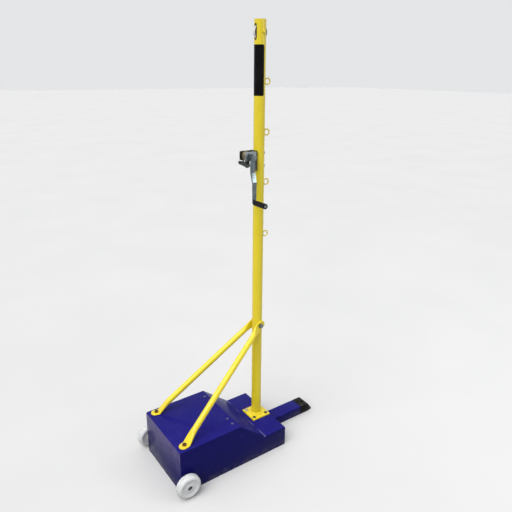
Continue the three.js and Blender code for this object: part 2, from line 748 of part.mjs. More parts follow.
function outriggerCap() {
  const rear = OUTRIGGER_END + CLEARANCE;
  const toe = OUTRIGGER_END + CAP_FOOT_LENGTH;
  const outline = roundedOutline([
    [rear, 0, 0],
    [toe, 0, 0],
    [toe, CAP_TOE_HEIGHT, CAP_EDGE],
    [OUTRIGGER_END + CAP_TOP_LENGTH, OUTRIGGER_HEIGHT, CAP_EDGE],
    [rear, OUTRIGGER_HEIGHT, 0],
  ]);
  const wedge = solid(spanned(outline, -OUTRIGGER_WIDTH, OUTRIGGER_WIDTH));
  const head = outriggerSection(0, rear, toe).intersect(wedge);
  const inset = OUTRIGGER_WALL + CLEARANCE;
  return head.add(outriggerSection(inset, OUTRIGGER_END - CAP_PLUG_LENGTH, rear + CAP_EDGE));
}

// Braces: round tube whose ends are pressed flat, one to lie on the box and one to stand
// against the side of the post. The section goes from a flat with round edges to a circle
// while the tube bends out of the plane of each end.

function bracePath(side) {
  const sheet = BRACE_FLAT_THICKNESS / 2;
  const foot = new THREE.Vector3(side * BRACE_FOOT_SIDE, -BRACE_FOOT_SETBACK, BOX_HEIGHT + CLEARANCE + sheet);
  const head = new THREE.Vector3(side * (POST_SEAT + sheet), 0, BRACE_HEAD_HEIGHT);
  const along = head.clone().sub(foot).normalize();
  const level = along.clone().setZ(0).normalize();
  const upright = along.clone().setX(0).normalize();
  const marks = [
    ...braceEnd(foot, level, along),
    ...braceEnd(head, upright.negate(), along.clone().negate()).reverse(),
  ];
  const path = new THREE.CurvePath();
  let last = marks[0].corner;
  marks.slice(1, -1).forEach(({ corner, reach }, i) => {
    const toLast = marks[i].corner.clone().sub(corner).setLength(reach);
    const toNext = marks[i + 2].corner.clone().sub(corner).setLength(reach);
    const start = corner.clone().add(toLast);
    const end = corner.clone().add(toNext);
    path.add(new THREE.LineCurve3(last, start));
    path.add(new THREE.QuadraticBezierCurve3(start, corner, end));
    last = end;
  });
  path.add(new THREE.LineCurve3(last, marks.at(-1).corner));
  return path;
}

// The corners of the path at one end: the tip, the crease after the flat, and the place
// where the pressed part joins the straight line between the two bolts.
function braceEnd(bolt, flat, along) {
  const crease = BRACE_FLAT_LENGTH + BRACE_CREASE_LENGTH / 2;
  return [
    { corner: bolt.clone().addScaledVector(flat, -BRACE_TIP), reach: 0 },
    { corner: bolt.clone().addScaledVector(flat, crease), reach: BRACE_CREASE_LENGTH / 2 },
    { corner: bolt.clone().addScaledVector(along, BRACE_JOIN_LENGTH), reach: BRACE_JOIN_BEND / 2 },
  ];
}

// Distances along the tube where a section is drawn, close together where the form changes.
function braceStations(length) {
  const tip = BRACE_FLAT_WIDTH / 2;
  const end = [];
  for (let i = 0; i <= BRACE_TIP_STATIONS; i += 1) {
    end.push(tip * (1 - Math.cos((Math.PI * i) / (2 * BRACE_TIP_STATIONS))));
  }
  for (let i = 0; i <= BRACE_PRESS_STATIONS; i += 1) {
    end.push(BRACE_PRESS_START + (BRACE_PRESS_LENGTH * i) / BRACE_PRESS_STATIONS);
  }
  const middle = [];
  const reach = end.at(-1);
  for (let i = 1; i < BRACE_TUBE_STATIONS; i += 1) {
    middle.push(reach + ((length - 2 * reach) * i) / BRACE_TUBE_STATIONS);
  }
  return [...end, ...middle, ...end.map((distance) => length - distance).reverse()];
}

// How far the tube is pressed at a distance from its end: one is flat, zero is round.
function pressedShare(fromEnd) {
  const end = BRACE_PRESS_START + BRACE_PRESS_LENGTH;
  return 1 - THREE.MathUtils.smoothstep(fromEnd, BRACE_PRESS_START, end);
}

// A point of the section, on its width and thickness axes.
function braceSection(turn, fromEnd) {
  const tip = BRACE_FLAT_WIDTH / 2;
  const inTip = Math.max(tip - fromEnd, 0);
  const width = Math.sqrt(Math.max(tip * tip - inTip * inTip, 0));
  const edge = Math.min(BRACE_FLAT_THICKNESS / 2, width);
  const share = pressedShare(fromEnd);
  const [across, up] = [Math.cos(turn), Math.sin(turn)];
  const side = Math.abs(across) < WELD_TOLERANCE ? 0 : Math.sign(across);
  const flat = [side * (width - edge) + across * edge, up * edge];
  const round = [across * BRACE_RADIUS, up * BRACE_RADIUS];
  return flat.map((value, i) => THREE.MathUtils.lerp(round[i], value, share));
}

function brace(side) {
  const path = bracePath(side);
  const length = path.getLength();
  const stations = braceStations(length);
  const footNormal = new THREE.Vector3(0, 0, 1);
  const headNormal = new THREE.Vector3(side, 0, 0);
  const rings = stations.length + 1;
  const place = (u, v, target) => {
    const row = Math.round(v * rings);
    const distance = stations[THREE.MathUtils.clamp(row - 1, 0, stations.length - 1)];
    const share = distance / length;
    const centre = path.getPointAt(share);
    target.copy(centre);
    if (row === 0 || row === rings) return;
    const along = path.getTangentAt(share);
    const turned = THREE.MathUtils.smoothstep(share, 0, 1);
    const normal = footNormal.clone().lerp(headNormal, turned);
    normal.addScaledVector(along, -normal.dot(along)).normalize();
    const across = along.clone().cross(normal);
    const fromEnd = Math.min(distance, length - distance);
    const [x, y] = braceSection(2 * Math.PI * u, fromEnd);
    target.addScaledVector(across, x).addScaledVector(normal, y);
  };
  const tube = solid(new ParametricGeometry(place, BRACE_FACETS, rings));
  const flat = BRACE_FLAT_THICKNESS / 2 + OVERRUN;
  const foot = [side * BRACE_FOOT_SIDE, -BRACE_FOOT_SETBACK, BOX_HEIGHT];
  const footHole = moved(rod('z', HOLE_M8, -flat, flat), ...foot);
  const headHole = moved(rod('x', HOLE_M10, -flat, flat), side * POST_SEAT, 0, BRACE_HEAD_HEIGHT);
  return cut(tube, [solid(footHole), solid(headHole)]);
}

function braceFootBolt(side) {
  const seat = BOX_HEIGHT + CLEARANCE + BRACE_FLAT_THICKNESS + CLEARANCE;
  const grip = seat - nutTop(BOX_HEIGHT) + M8.nut + M8.end;
  return boltAt('z', M8, grip, side * BRACE_FOOT_SIDE, -BRACE_FOOT_SETBACK, seat);
}

function braceFootNut(side) {
  const from = nutTop(BOX_HEIGHT) - M8.nut;
  return nutAt('z', M8, from, side * BRACE_FOOT_SIDE, -BRACE_FOOT_SETBACK, 0);
}

function braceHeadSeat() {
  return POST_SEAT + BRACE_FLAT_THICKNESS + CLEARANCE;
}

function braceHeadBolt() {
  const grip = 2 * braceHeadSeat() + M10.nut + M10.end;
  return boltAt('x', M10, grip, braceHeadSeat(), 0, BRACE_HEAD_HEIGHT);
}

function braceHeadNut() {
  return nutAt('x', M10, -braceHeadSeat() - M10.nut, 0, 0, BRACE_HEAD_HEIGHT);
}

// Winch bracket: a web against the post and two folded sides, the far one with a lug

function winchBracket() {
  const half = BRACKET_WIDTH / 2;
  const top = WINCH_HEIGHT + BRACKET_WEB_RISE;
  const bottom = WINCH_HEIGHT - BRACKET_WEB_DROP;
  const web = roundedRectangle(-half, bottom, half, top, BRACKET_SHEET);
  const rear = -WINCH_SETBACK - BRACKET_SIDE_REACH;
  const side = roundedOutline([
    [-POST_SEAT, WINCH_HEIGHT - BRACKET_SIDE_HALF_HEIGHT, 0],
    [-POST_SEAT, WINCH_HEIGHT + BRACKET_SIDE_HALF_HEIGHT, 0],
    [rear, WINCH_HEIGHT + BRACKET_SIDE_HALF_HEIGHT, BRACKET_CORNER],
    [rear, WINCH_HEIGHT - BRACKET_SIDE_HALF_HEIGHT, BRACKET_CORNER],
  ]);
  const lugDrop = PAWL_PIVOT_DROP - BRACKET_SIDE_HALF_HEIGHT + LUG_RADIUS;
  const lug = linkOutline(LUG_RADIUS, LUG_RADIUS, 0, lugDrop);
  const reach = BRACKET_SIDE + OVERRUN;
  const body = joined([
    solid(advanced(web, -WEB_FACE, -POST_SEAT)),
    solid(spanned(side, BRACKET_INNER, BRACKET_SIDE)),
    solid(spanned(side, -BRACKET_SIDE, -BRACKET_INNER)),
    atPawlPivot(spanned(lug, -BRACKET_SIDE, -BRACKET_INNER)),
  ]);
  const bolts = winchBoltHeights().map((height) => (
    solid(moved(rod('y', HOLE_M8, -WEB_FACE - OVERRUN, -POST_SEAT + OVERRUN), 0, 0, height))
  ));
  return cut(body, [
    atWinchAxis(rod('x', SHAFT_RADIUS + CLEARANCE, -reach, reach)),
    atPawlPivot(rod('x', PAWL_PIN_RADIUS + CLEARANCE, -reach, 0)),
    ...bolts,
  ]);
}

function atWinchAxis(geometry) {
  return solid(moved(geometry, 0, -WINCH_SETBACK, WINCH_HEIGHT));
}

function atPawlPivot(geometry) {
  return solid(moved(geometry, 0, PAWL_PIVOT_FORWARD - WINCH_SETBACK, WINCH_HEIGHT - PAWL_PIVOT_DROP));
}

function winchBoltHeights() {
  return [WINCH_HEIGHT + WINCH_BOLT_RISE, WINCH_HEIGHT - WINCH_BOLT_DROP];
}

function winchBolt(height) {
  const tip = -WEB_FACE - CLEARANCE - M8.nut - M8.end;
  const screw = domedScrew(DOME_RADIUS, DOME_HEIGHT, M8.shank, POST_SEAT, tip);
  return screw.rotate([-90, 0, 0]).translate([0, 0, height]);
}

function winchNut(height) {
  return nutAt('y', M8, -WEB_FACE - CLEARANCE - M8.nut, 0, 0, height);
}

// Drum with its shaft, and the ratchet wheel beside it

function winchDrum() {
  const far = -RATCHET_INNER + CLEARANCE;
  const profile = [
    [0, far], [DRUM_FLANGE_RADIUS, far], [DRUM_FLANGE_RADIUS, far + DRUM_FLANGE],
    [DRUM_CORE_RADIUS, far + DRUM_FLANGE], [DRUM_CORE_RADIUS, DRUM_SIDE - DRUM_FLANGE],
    [DRUM_FLANGE_RADIUS, DRUM_SIDE - DRUM_FLANGE], [DRUM_FLANGE_RADIUS, DRUM_SIDE], [0, DRUM_SIDE],
  ];
  const end = CRANK_INNER + CRANK_THICKNESS + CLEARANCE + M10.nut + M10.end;
  const drum = joined([
    atWinchAxis(revolved('x', profile, WHEEL_FACETS)),
    atWinchAxis(rod('x', SHAFT_RADIUS, -BRACKET_SIDE - SHAFT_STUB, end)),
  ]);
  const middle = (far + DRUM_SIDE) / 2;
  const hole = rod('y', CORD_HOLE_RADIUS, -DRUM_FLANGE_RADIUS, DRUM_FLANGE_RADIUS, SMALL_FACETS);
  return drum.subtract(atWinchAxis(moved(hole, middle, 0, 0)));
}

function winchRatchet() {
  const teeth = new THREE.Shape();
  const pitch = (2 * Math.PI) / RATCHET_TEETH;
  const gap = (PAWL_NOSE_RADIUS + PAWL_NOSE_GAP) / PAWL_NOSE_REACH;
  const start = THREE.MathUtils.degToRad(PAWL_NOSE_ANGLE) - gap;
  for (let i = 0; i < RATCHET_TEETH; i += 1) {
    const turn = start + i * pitch;
    const [root, crest] = [RATCHET_ROOT_RADIUS, RATCHET_RADIUS];
    if (i === 0) teeth.moveTo(root * Math.cos(turn), root * Math.sin(turn));
    else teeth.lineTo(root * Math.cos(turn), root * Math.sin(turn));
    teeth.lineTo(crest * Math.cos(turn + pitch), crest * Math.sin(turn + pitch));
  }
  teeth.closePath();
  const bore = SHAFT_RADIUS + CLEARANCE;
  const body = atWinchAxis(spanned(teeth, -DRUM_SIDE, -RATCHET_INNER));
  return body.subtract(atWinchAxis(rod('x', bore, -BRACKET_SIDE, 0)));
}

// Pawl: a nose that stands in the ratchet's teeth and a tail to lift it by

function winchPawl() {
  const turn = THREE.MathUtils.degToRad(PAWL_NOSE_ANGLE);
  const rootY = -PAWL_TAIL_BACK * PAWL_ROOT_SHARE;
  const rootZ = PAWL_TAIL_RISE * PAWL_ROOT_SHARE;
  const noseY = PAWL_NOSE_REACH * Math.cos(turn) - PAWL_PIVOT_FORWARD;
  const noseZ = PAWL_NOSE_REACH * Math.sin(turn) + PAWL_PIVOT_DROP;
  const bar = linkOutline(PAWL_HUB_RADIUS, PAWL_TAIL_RADIUS, -PAWL_TAIL_BACK, PAWL_TAIL_RISE);
  const nose = linkOutline(PAWL_ROOT_RADIUS, PAWL_NOSE_RADIUS, noseY - rootY, noseZ - rootZ);
  const body = joined([
    atPawlPivot(spanned(bar, -DRUM_SIDE, -RATCHET_INNER)),
    atPawlPivot(moved(spanned(nose, -DRUM_SIDE, -RATCHET_INNER), 0, rootY, rootZ)),
  ]);
  return body.subtract(atPawlPivot(rod('x', PAWL_PIN_RADIUS + CLEARANCE, -BRACKET_SIDE, 0)));
}

function pawlPin() {
  const seat = -RATCHET_INNER + CLEARANCE;
  return joined([
    atPawlPivot(rod('x', PAWL_PIN_RADIUS, -BRACKET_SIDE - PAWL_PIN_STUB, seat, SMALL_FACETS)),
    atPawlPivot(rod('x', PAWL_PIN_HEAD_RADIUS, seat, seat + PAWL_PIN_HEAD_HEIGHT, SMALL_FACETS)),
  ]);
}

// Crank: a flat bar, tapered toward the grip and stepped outward below the bracket

function crankArm() {
  const reach = CRANK_HEAD_RADIUS + OVERRUN;
  const half = CRANK_THICKNESS / 2;
  const outer = CRANK_MIDDLE + CRANK_OFFSET;
  const length = CRANK_RADIUS + CRANK_FOOT_RADIUS + OVERRUN;
  const band = roundedOutline([
    [CRANK_MIDDLE - half, reach, 0],
    [CRANK_MIDDLE - half, -CRANK_OFFSET_START, CRANK_BEND],
    [outer - half, -CRANK_OFFSET_END, CRANK_BEND],
    [outer - half, -length, 0],
    [outer + half, -length, 0],
    [outer + half, -CRANK_OFFSET_END + half, CRANK_BEND],
    [CRANK_MIDDLE + half, -CRANK_OFFSET_START + half, CRANK_BEND],
    [CRANK_MIDDLE + half, reach, 0],
  ]);
  const outline = linkOutline(CRANK_HEAD_RADIUS, CRANK_FOOT_RADIUS, 0, -CRANK_RADIUS);
  const bar = atWinchAxis(advanced(band, -reach, reach));
  const form = atWinchAxis(spanned(outline, 0, GRIP_END));
  const boss = atWinchAxis(rod('x', CRANK_BOSS_RADIUS, BRACKET_SIDE + CLEARANCE, CRANK_MIDDLE));
  return cut(bar.intersect(form).add(boss), [
    atWinchAxis(rod('x', SHAFT_RADIUS + CLEARANCE, 0, GRIP_END)),
    atWinchAxis(moved(rod('x', GRIP_PIN_RADIUS + CLEARANCE, 0, GRIP_END), 0, 0, -CRANK_RADIUS)),
  ]);
}

function crankNut() {
  const from = CRANK_INNER + CRANK_THICKNESS + CLEARANCE;
  return nutAt('x', M10, from, 0, -WINCH_SETBACK, WINCH_HEIGHT);
}

function atGrip(geometry) {
  return atWinchAxis(moved(geometry, 0, 0, -CRANK_RADIUS));
}

function crankGrip() {
  const bore = GRIP_PIN_RADIUS + CLEARANCE;
  const pocket = GRIP_PIN_HEAD_RADIUS + CLEARANCE;
  const floor = GRIP_END - GRIP_PIN_RECESS - GRIP_PIN_HEAD_HEIGHT - CLEARANCE;
  const profile = [
    [bore, GRIP_START], [GRIP_RADIUS - GRIP_EDGE, GRIP_START], [GRIP_RADIUS, GRIP_START + GRIP_EDGE],
    [GRIP_RADIUS, GRIP_END - GRIP_EDGE], [GRIP_RADIUS - GRIP_EDGE, GRIP_END], [pocket, GRIP_END],
    [pocket, floor], [bore, floor], [bore, GRIP_START],
  ];
  return atGrip(revolved('x', profile, WHEEL_FACETS / 2));
}

function gripPin() {
  const from = CRANK_INNER + CRANK_OFFSET - GRIP_PIN_RIVET;
  const head = GRIP_END - GRIP_PIN_RECESS - GRIP_PIN_HEAD_HEIGHT;
  return joined([
    atGrip(rod('x', GRIP_PIN_RADIUS, from, head + GRIP_PIN_HEAD_HEIGHT / 2)),
    atGrip(rod('x', GRIP_PIN_HEAD_RADIUS, head, head + GRIP_PIN_HEAD_HEIGHT)),
  ]);
}

// The whole post

function postPieces() {
  return [
    piece('post_tube', YELLOW_COAT, postTube()),
    piece('post_top_plate', YELLOW_COAT, postCap()),
    piece('head_sheave', WHITE_PLASTIC, sheave()),
    ...pair('sheave_spacer', WHITE_PLASTIC, sheaveSpacer),
    piece('sheave_bolt', ZINC, sheaveBolt()),
    piece('sheave_nut', ZINC, sheaveNut()),
    ...row('net_ring', YELLOW_COAT, ringHeights(), netRing),
    piece('foot_flange', YELLOW_COAT, footFlange()),
    ...row('flange_bolt', ZINC, flangeHolePlaces(), flangeBolt),
    ...row('flange_nut', ZINC, flangeHolePlaces(), flangeNut),
  ];
}

function boxPieces() {
  const slabs = Array.from({ length: SLAB_COUNT }, (_, i) => i);
  return [
    piece('ballast_box', BLUE_COAT, ballastBox()),
    piece('box_floor', BLUE_COAT, boxFloor()),
    ...row('ballast_slab', CAST_IRON, slabs, ballastSlab),
    piece('ballast_stop', BLUE_COAT, ballastStop()),
    ...row('stop_screw', ZINC, stopScrewPlaces(), stopScrew),
    piece('wheel_axle', ZINC, wheelAxle()),
    ...pair('axle_spacer', ZINC, axleSpacer),
    ...pair('axle_clip', ZINC, axleClip),
    ...pair('wheel', WHITE_PLASTIC, wheel),
    piece('outrigger_tube', BLUE_COAT, outriggerTube()),
    piece('outrigger_cap', BLACK_PLASTIC, outriggerCap()),
  ];
}

function bracePieces() {
  return [
    ...pair('brace', YELLOW_COAT, brace),
    ...pair('brace_foot_bolt', ZINC, braceFootBolt),
    ...pair('brace_foot_nut', ZINC, braceFootNut),
    piece('brace_head_bolt', ZINC, braceHeadBolt()),
    piece('brace_head_nut', ZINC, braceHeadNut()),
  ];
}

function winchPieces() {
  return [
    piece('winch_bracket', ZINC, winchBracket()),
    ...row('winch_bolt', ZINC, winchBoltHeights(), winchBolt),
    ...row('winch_nut', ZINC, winchBoltHeights(), winchNut),
    piece('winch_drum', BRONZE, winchDrum()),
    piece('winch_ratchet', DARK_STEEL, winchRatchet()),
    piece('winch_pawl', DARK_STEEL, winchPawl()),
    piece('pawl_pin', ZINC, pawlPin()),
    piece('crank_arm', ZINC, crankArm()),
    piece('crank_nut', ZINC, crankNut()),
    piece('crank_grip', BLACK_PLASTIC, crankGrip()),
    piece('grip_pin', ZINC, gripPin()),
  ];
}

const netPost = new THREE.Group();
netPost.add(...postPieces(), ...boxPieces(), ...bracePieces(), ...winchPieces());

export default netPost;
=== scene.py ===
import json
import math

import bmesh
import bpy
from mathutils import Matrix, Vector


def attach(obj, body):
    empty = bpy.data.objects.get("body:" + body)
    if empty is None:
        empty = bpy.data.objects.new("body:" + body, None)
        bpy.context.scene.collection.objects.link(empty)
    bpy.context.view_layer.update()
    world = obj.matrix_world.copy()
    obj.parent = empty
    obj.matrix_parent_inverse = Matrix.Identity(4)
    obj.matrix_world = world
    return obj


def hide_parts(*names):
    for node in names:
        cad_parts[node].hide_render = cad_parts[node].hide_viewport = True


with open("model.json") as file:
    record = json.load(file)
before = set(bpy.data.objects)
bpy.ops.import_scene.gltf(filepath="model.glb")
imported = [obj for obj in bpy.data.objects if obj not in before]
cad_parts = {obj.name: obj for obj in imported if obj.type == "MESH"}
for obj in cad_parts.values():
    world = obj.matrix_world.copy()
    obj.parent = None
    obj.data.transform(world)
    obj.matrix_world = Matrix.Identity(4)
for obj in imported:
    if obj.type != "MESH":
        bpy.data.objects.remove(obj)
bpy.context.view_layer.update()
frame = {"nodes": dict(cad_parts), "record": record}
NODES = frame["nodes"]
BODY_OF = {
    n: body for body, members in frame["record"]["behaviour"]["bodies"].items() for n in members
}
SIDES = ((1, "near"), (-1, "far"))
scene = bpy.context.scene
MM = 0.001
TAU = 2 * math.pi


def add_object(name, data):
    made = bpy.data.objects.new(name, data)
    scene.collection.objects.link(made)
    return made


# ------------------------------------------------------------------ camera
# At the photograph's place and angle, in the part's own frame, in metres

CAMERA_PLACE = (1.4255, -1.0278, 1.3934)
CAMERA_YAW = math.radians(-54.411)
CAMERA_PITCH = math.radians(19.736)
CAMERA_ROLL = math.radians(0.561)
CAMERA_LENS, CAMERA_SENSOR = 36.02, 36.0
CAMERA_NEAR, CAMERA_FAR = 0.05, 100


def make_camera():
    ahead = Vector((
        math.sin(CAMERA_YAW) * math.cos(CAMERA_PITCH),
        math.cos(CAMERA_YAW) * math.cos(CAMERA_PITCH),
        -math.sin(CAMERA_PITCH),
    ))
    right = Vector((math.cos(CAMERA_YAW), -math.sin(CAMERA_YAW), 0))
    up = right.cross(ahead)
    c, s = math.cos(CAMERA_ROLL), math.sin(CAMERA_ROLL)
    data = bpy.data.cameras.new("camera")
    data.sensor_width = CAMERA_SENSOR
    data.lens = CAMERA_LENS
    data.clip_start, data.clip_end = CAMERA_NEAR, CAMERA_FAR
    turn = Matrix((c * right + s * up, c * up - s * right, -ahead)).transposed().to_4x4()
    scene.camera = add_object("camera", data)
    scene.camera.matrix_world = Matrix.Translation(CAMERA_PLACE) @ turn


make_camera()

# --------------------------------------------------------------- materials
# Lengths in materials are metres, and colours are linear

WHEEL_PLACE = (-0.400, 0.049)
DRUM_MIDDLE = 0.00265
BARE_EDGE = 0.10


class Graph:
    """A node tree, with a method for each kind of node that the recipes use."""

    def __init__(self, tree):
        self.tree = tree

    def put(self, socket, value):
        if isinstance(value, bpy.types.NodeSocket):
            self.tree.links.new(value, socket)
        elif socket.type == "RGBA" and len(value) == 3:
            socket.default_value = (*value, 1)
        else:
            socket.default_value = value

    def add(self, kind, props=(), **inputs):
        node = self.tree.nodes.new("ShaderNode" + kind)
        for key, value in dict(props).items():
            setattr(node, key, value)
        for key, value in inputs.items():
            self.put(node.inputs[key.replace("_", " ")], value)
        return node

    def fill(self, kind, sockets, values, **props):
        """A node whose inputs are given by number."""
        node = self.add(kind, props)
        for socket, value in zip(sockets, values):
            self.put(node.inputs[socket], value)
        return node

    def calc(self, operation, a, b=0.0):
        return self.fill("Math", (0, 1), (a, b), operation=operation).outputs[0]

    def most(self, a, b):
        return self.calc("MAXIMUM", a, b)

    def axis(self, letter, source):
        return self.add("SeparateXYZ", Vector=source).outputs["XYZ".index(letter)]

    def seen(self):
        """One for the rays of the picture and for those that mirror or pass through."""
        rays = self.add("LightPath").outputs
        other = self.most(rays["Is Glossy Ray"], rays["Is Transmission Ray"])
        return self.most(rays["Is Camera Ray"], other)


class Recipe(Graph):
    """A procedural material: one Principled shader and the nodes that feed it."""

    def __init__(self, name, **fixed):
        self.material = bpy.data.materials.new(name)
        self.material.use_nodes = True
        super().__init__(self.material.node_tree)
        self.tree.nodes.clear()
        self.shader = self.add("BsdfPrincipled", **fixed)
        self.add("OutputMaterial", Surface=self.shader.outputs[0])
        self.point = self.add("TexCoord").outputs["Object"]
        self.normal = self.add("NewGeometry").outputs["Normal"]

    def noise(self, scale, detail=3.0, rough=0.55, stretch=(1, 1, 1), offset=(0, 0, 0), bend=0.0):
        mapped = self.add("Mapping", Vector=self.point, Scale=stretch, Location=offset)
        node = self.add("TexNoise", Vector=mapped.outputs[0], Scale=scale, Detail=detail,
                        Roughness=rough, Distortion=bend)
        return node.outputs["Fac"]

    def cells(self, scale):
        return self.add("TexVoronoi", Vector=self.point, Scale=scale).outputs["Distance"]

    def span(self, value, low, high, to_low=0.0, to_high=1.0):
        values = (value, low, high, to_low, to_high)
        return self.fill("MapRange", range(5), values, interpolation_type="SMOOTHSTEP").outputs[0]

    def patches(self, low, high, *noise):
        """One where the noise is high, zero where it is low."""
        return self.span(self.noise(*noise), low, high)

    def times(self, *values):
        """The product of the values, where a tuple stands for patches."""
        values = [self.patches(*v) if isinstance(v, tuple) else v for v in values]
        result = values[0]
        for v in values[1:]:
            result = self.calc("MULTIPLY", result, v)
        return result

    def blend(self, share, a, b):
        values = (self.times(share), a, b)
        return self.fill("Mix", (0, 6, 7), values, data_type="RGBA").outputs[2]

    def over(self, colour, *shares):
        """Puts a colour over the tone, by the product of the shares."""
        self.tone = self.blend(self.times(*shares), self.tone, colour)

    def at(self, letter, low, high):
        return self.span(self.axis(letter, self.point), low, high)

    def facing(self, letter, low, high):
        return self.span(self.axis(letter, self.normal), low, high)

    def edges(self, radius, low, high):
        """One along convex and concave edges, zero on open faces."""
        bevel = self.add("Bevel", {"samples": 4}, Radius=radius)
        sides = (bevel.outputs[0], self.normal)
        dot = self.fill("VectorMath", (0, 1), sides, operation="DOT_PRODUCT")
        return self.span(self.calc("SUBTRACT", 1.0, dot.outputs["Value"]), low, high)

    def finish(self, rough, *layers):
        """Sets tone and roughness, and stacks bump layers of (height socket, depth)."""
        normal = None
        for height, depth in layers:
            node = self.add("Bump", Height=height, Distance=depth, Strength=1.0)
            if normal is not None:
                self.put(node.inputs["Normal"], normal)
            normal = node.outputs[0]
        for key, value in (("Base Color", self.tone), ("Roughness", rough), ("Normal", normal)):
            self.put(self.shader.inputs[key], value)
        return self.material


def yellow_coat():
    m = Recipe("yellow_coat", IOR=1.5, Coat_Weight=0.25, Coat_Roughness=0.18)
    large, fine = m.noise(7, 4), m.noise(260, 3, 0.6)
    m.tone = m.blend(m.span(large, 0.35, 0.7), (0.81, 0.650, 0.014), (0.755, 0.592, 0.011))
    grime = m.times((0.56, 0.74, 38, 6, 0.7, (1, 1, 0.35)), 0.18)
    low = m.times(m.at("Z", 0.55, 0.09), (0.42, 0.66, 24, 5), 0.22)
    m.over((0.40, 0.29, 0.035), m.most(grime, low))
    marks = m.patches(0.69, 0.73, 55, 5, 0.8, (1, 1, 0.06), (3, 1, 0))
    m.over((0.10, 0.08, 0.03), marks, 0.45)
    worn = m.times(m.edges(0.0016, BARE_EDGE, 0.42), (0.50, 0.62, 120, 4))
    m.over((0.25, 0.22, 0.15), worn, 0.7)
    mottle = m.calc("ADD", m.times(fine, 0.4), m.times(large, 0.6))
    rough = m.span(mottle, 0.25, 0.75, 0.26, 0.46)
    return m.finish(rough, (m.noise(420, 2, 0.5), 0.00012), (marks, -0.00008))


def blue_enamel():
    m = Recipe("blue_enamel", IOR=1.5)
    large = m.noise(3.2, 4)
    # Painted light: faces turned up take a lighter blue and the sides a darker one, as if lit from
    # above with the sides in shade
    side = m.blend(m.span(large, 0.3, 0.7), (0.0058, 0.0052, 0.086), (0.0074, 0.0066, 0.104))
    top = m.blend(m.span(large, 0.3, 0.7), (0.0108, 0.0093, 0.144), (0.0137, 0.0117, 0.168))
    up = m.facing("Z", 0.3, 0.95)
    m.tone = m.blend(up, side, top)
    back = m.facing("Y", -0.7, -0.95)
    slope = m.times(m.facing("Y", 0.3, 0.5), m.facing("Z", 0.3, 0.5))
    # Painted reflection: a pale streaky glare over the upper part of the back face
    streaks = m.span(m.noise(22, 5, 0.65), 0.25, 0.60, 0.45, 1.0)
    back_glare = m.times(back, m.at("Z", 0.045, 0.16), streaks)
    m.over((0.112, 0.096, 0.224), back_glare, 0.90)
    # Painted light: the slope's faces take a brighter blue than the rest of the paint
    m.over((0.0240, 0.0215, 0.190), slope, 0.5)
    dust = m.times(up, (0.46, 0.78, 16, 7, 0.72), 0.03)
    few = m.patches(0.50, 0.62, 30, 3)
    specks = m.times(m.span(m.cells(150), 0.10, 0.04), few, 0.16)
    m.over((0.30, 0.29, 0.34), m.most(dust, specks))
    hair = m.patches(0.665, 0.685, 30, 2, 0.5, (1, 14, 1), (7, 0, 0), 0.6)
    hair_2 = m.patches(0.67, 0.69, 26, 2, 0.5, (16, 1.4, 2), (0, 5, 2), 0.8)
    scratch = m.times(m.most(hair, hair_2), (0.48, 0.6, 9, 2))
    m.over((0.16, 0.16, 0.36), scratch, 0.07)
    low = m.times(m.at("Z", 0.035, 0.0), (0.35, 0.65, 45, 5), 0.5)
    m.over((0.10, 0.09, 0.12), low)
    chips = m.times(m.edges(0.0022, BARE_EDGE, 0.40), (0.60, 0.66, 90, 4))
    m.over((0.16, 0.15, 0.17), chips, 0.75)
    # A painted highlight along the fold at the slope's foot: a pale line in place of a lamp's
    # reflection in the bend
    bend = m.times(
        m.at("Y", -0.0620, -0.0590), m.at("Y", -0.0510, -0.0535),
        m.at("Z", 0.0790, 0.0805), m.at("Z", 0.0905, 0.0885))
    m.over((0.155, 0.150, 0.370), bend, (0.40, 0.55, 14, 3), 0.75)
    rough = m.most(m.span(m.noise(20, 5), 0.3, 0.75, 0.07, 0.17), m.times(dust, 2.2))
    rough = m.most(rough, m.times(m.most(scratch, low), 0.45))
    dull = m.most(m.times(back, 0.70), m.times(slope, 0.93))
    shine = m.times(m.calc("SUBTRACT", 1.0, dull), 0.05)
    m.put(m.shader.inputs["Specular IOR Level"], shine)
    wave, grain = m.noise(6.5, 2, 0.4), m.noise(210, 2, 0.5)
    return m.finish(rough, (wave, 0.0011), (grain, 0.000022), (scratch, -0.00004))


def zinc_plate(name, dark, light, smooth=0.0, shaded=False):
    m = Recipe(name, Metallic=1.0)
    cloud = m.noise(60, 5, 0.6)
    m.tone = m.blend(m.span(cloud, 0.3, 0.7), dark, light)
    if shaded:
        # The bracket's far cheek and its web, as the photograph's light leaves them
        far = m.at("X", -0.0142, -0.0147)
        web = m.at("Y", -0.0238, -0.0234)
        m.over((0.052, 0.047, 0.022), m.most(far, web), 0.9)
    bloom = m.times((0.60, 0.72, 150, 6, 0.75), 0.55)
    m.over((0.13, 0.135, 0.13), bloom)
    worn = m.times(m.edges(0.0012, BARE_EDGE, 0.5), (0.45, 0.6, 200, 4), 0.6)
    m.over((0.09, 0.085, 0.075), worn)
    rough = m.span(cloud, 0.3, 0.7, 0.30 - smooth, 0.42 - smooth)
    rough = m.calc("ADD", rough, m.times(bloom, 0.4))
    brushed = m.noise(900, 2, 0.5, (1, 1, 0.08))
    return m.finish(rough, (brushed, 0.00002), (m.noise(320, 3), 0.00003))


def dark_bolt(name, dark, light, rusty):
    m = Recipe(name, Metallic=1.0)
    cloud = m.noise(240, 4, 0.6)
    m.tone = m.blend(m.span(cloud, 0.35, 0.65), dark, light)
    rust = m.times((0.60, 0.70, 420, 5, 0.7, (1, 1, 1), (2, 0, 5)), 0.6)
    m.over(rusty, rust)
    rough = m.calc("ADD", m.span(cloud, 0.3, 0.7, 0.28, 0.42), m.times(rust, 0.5))
    return m.finish(rough, (m.noise(700, 3), 0.00003))


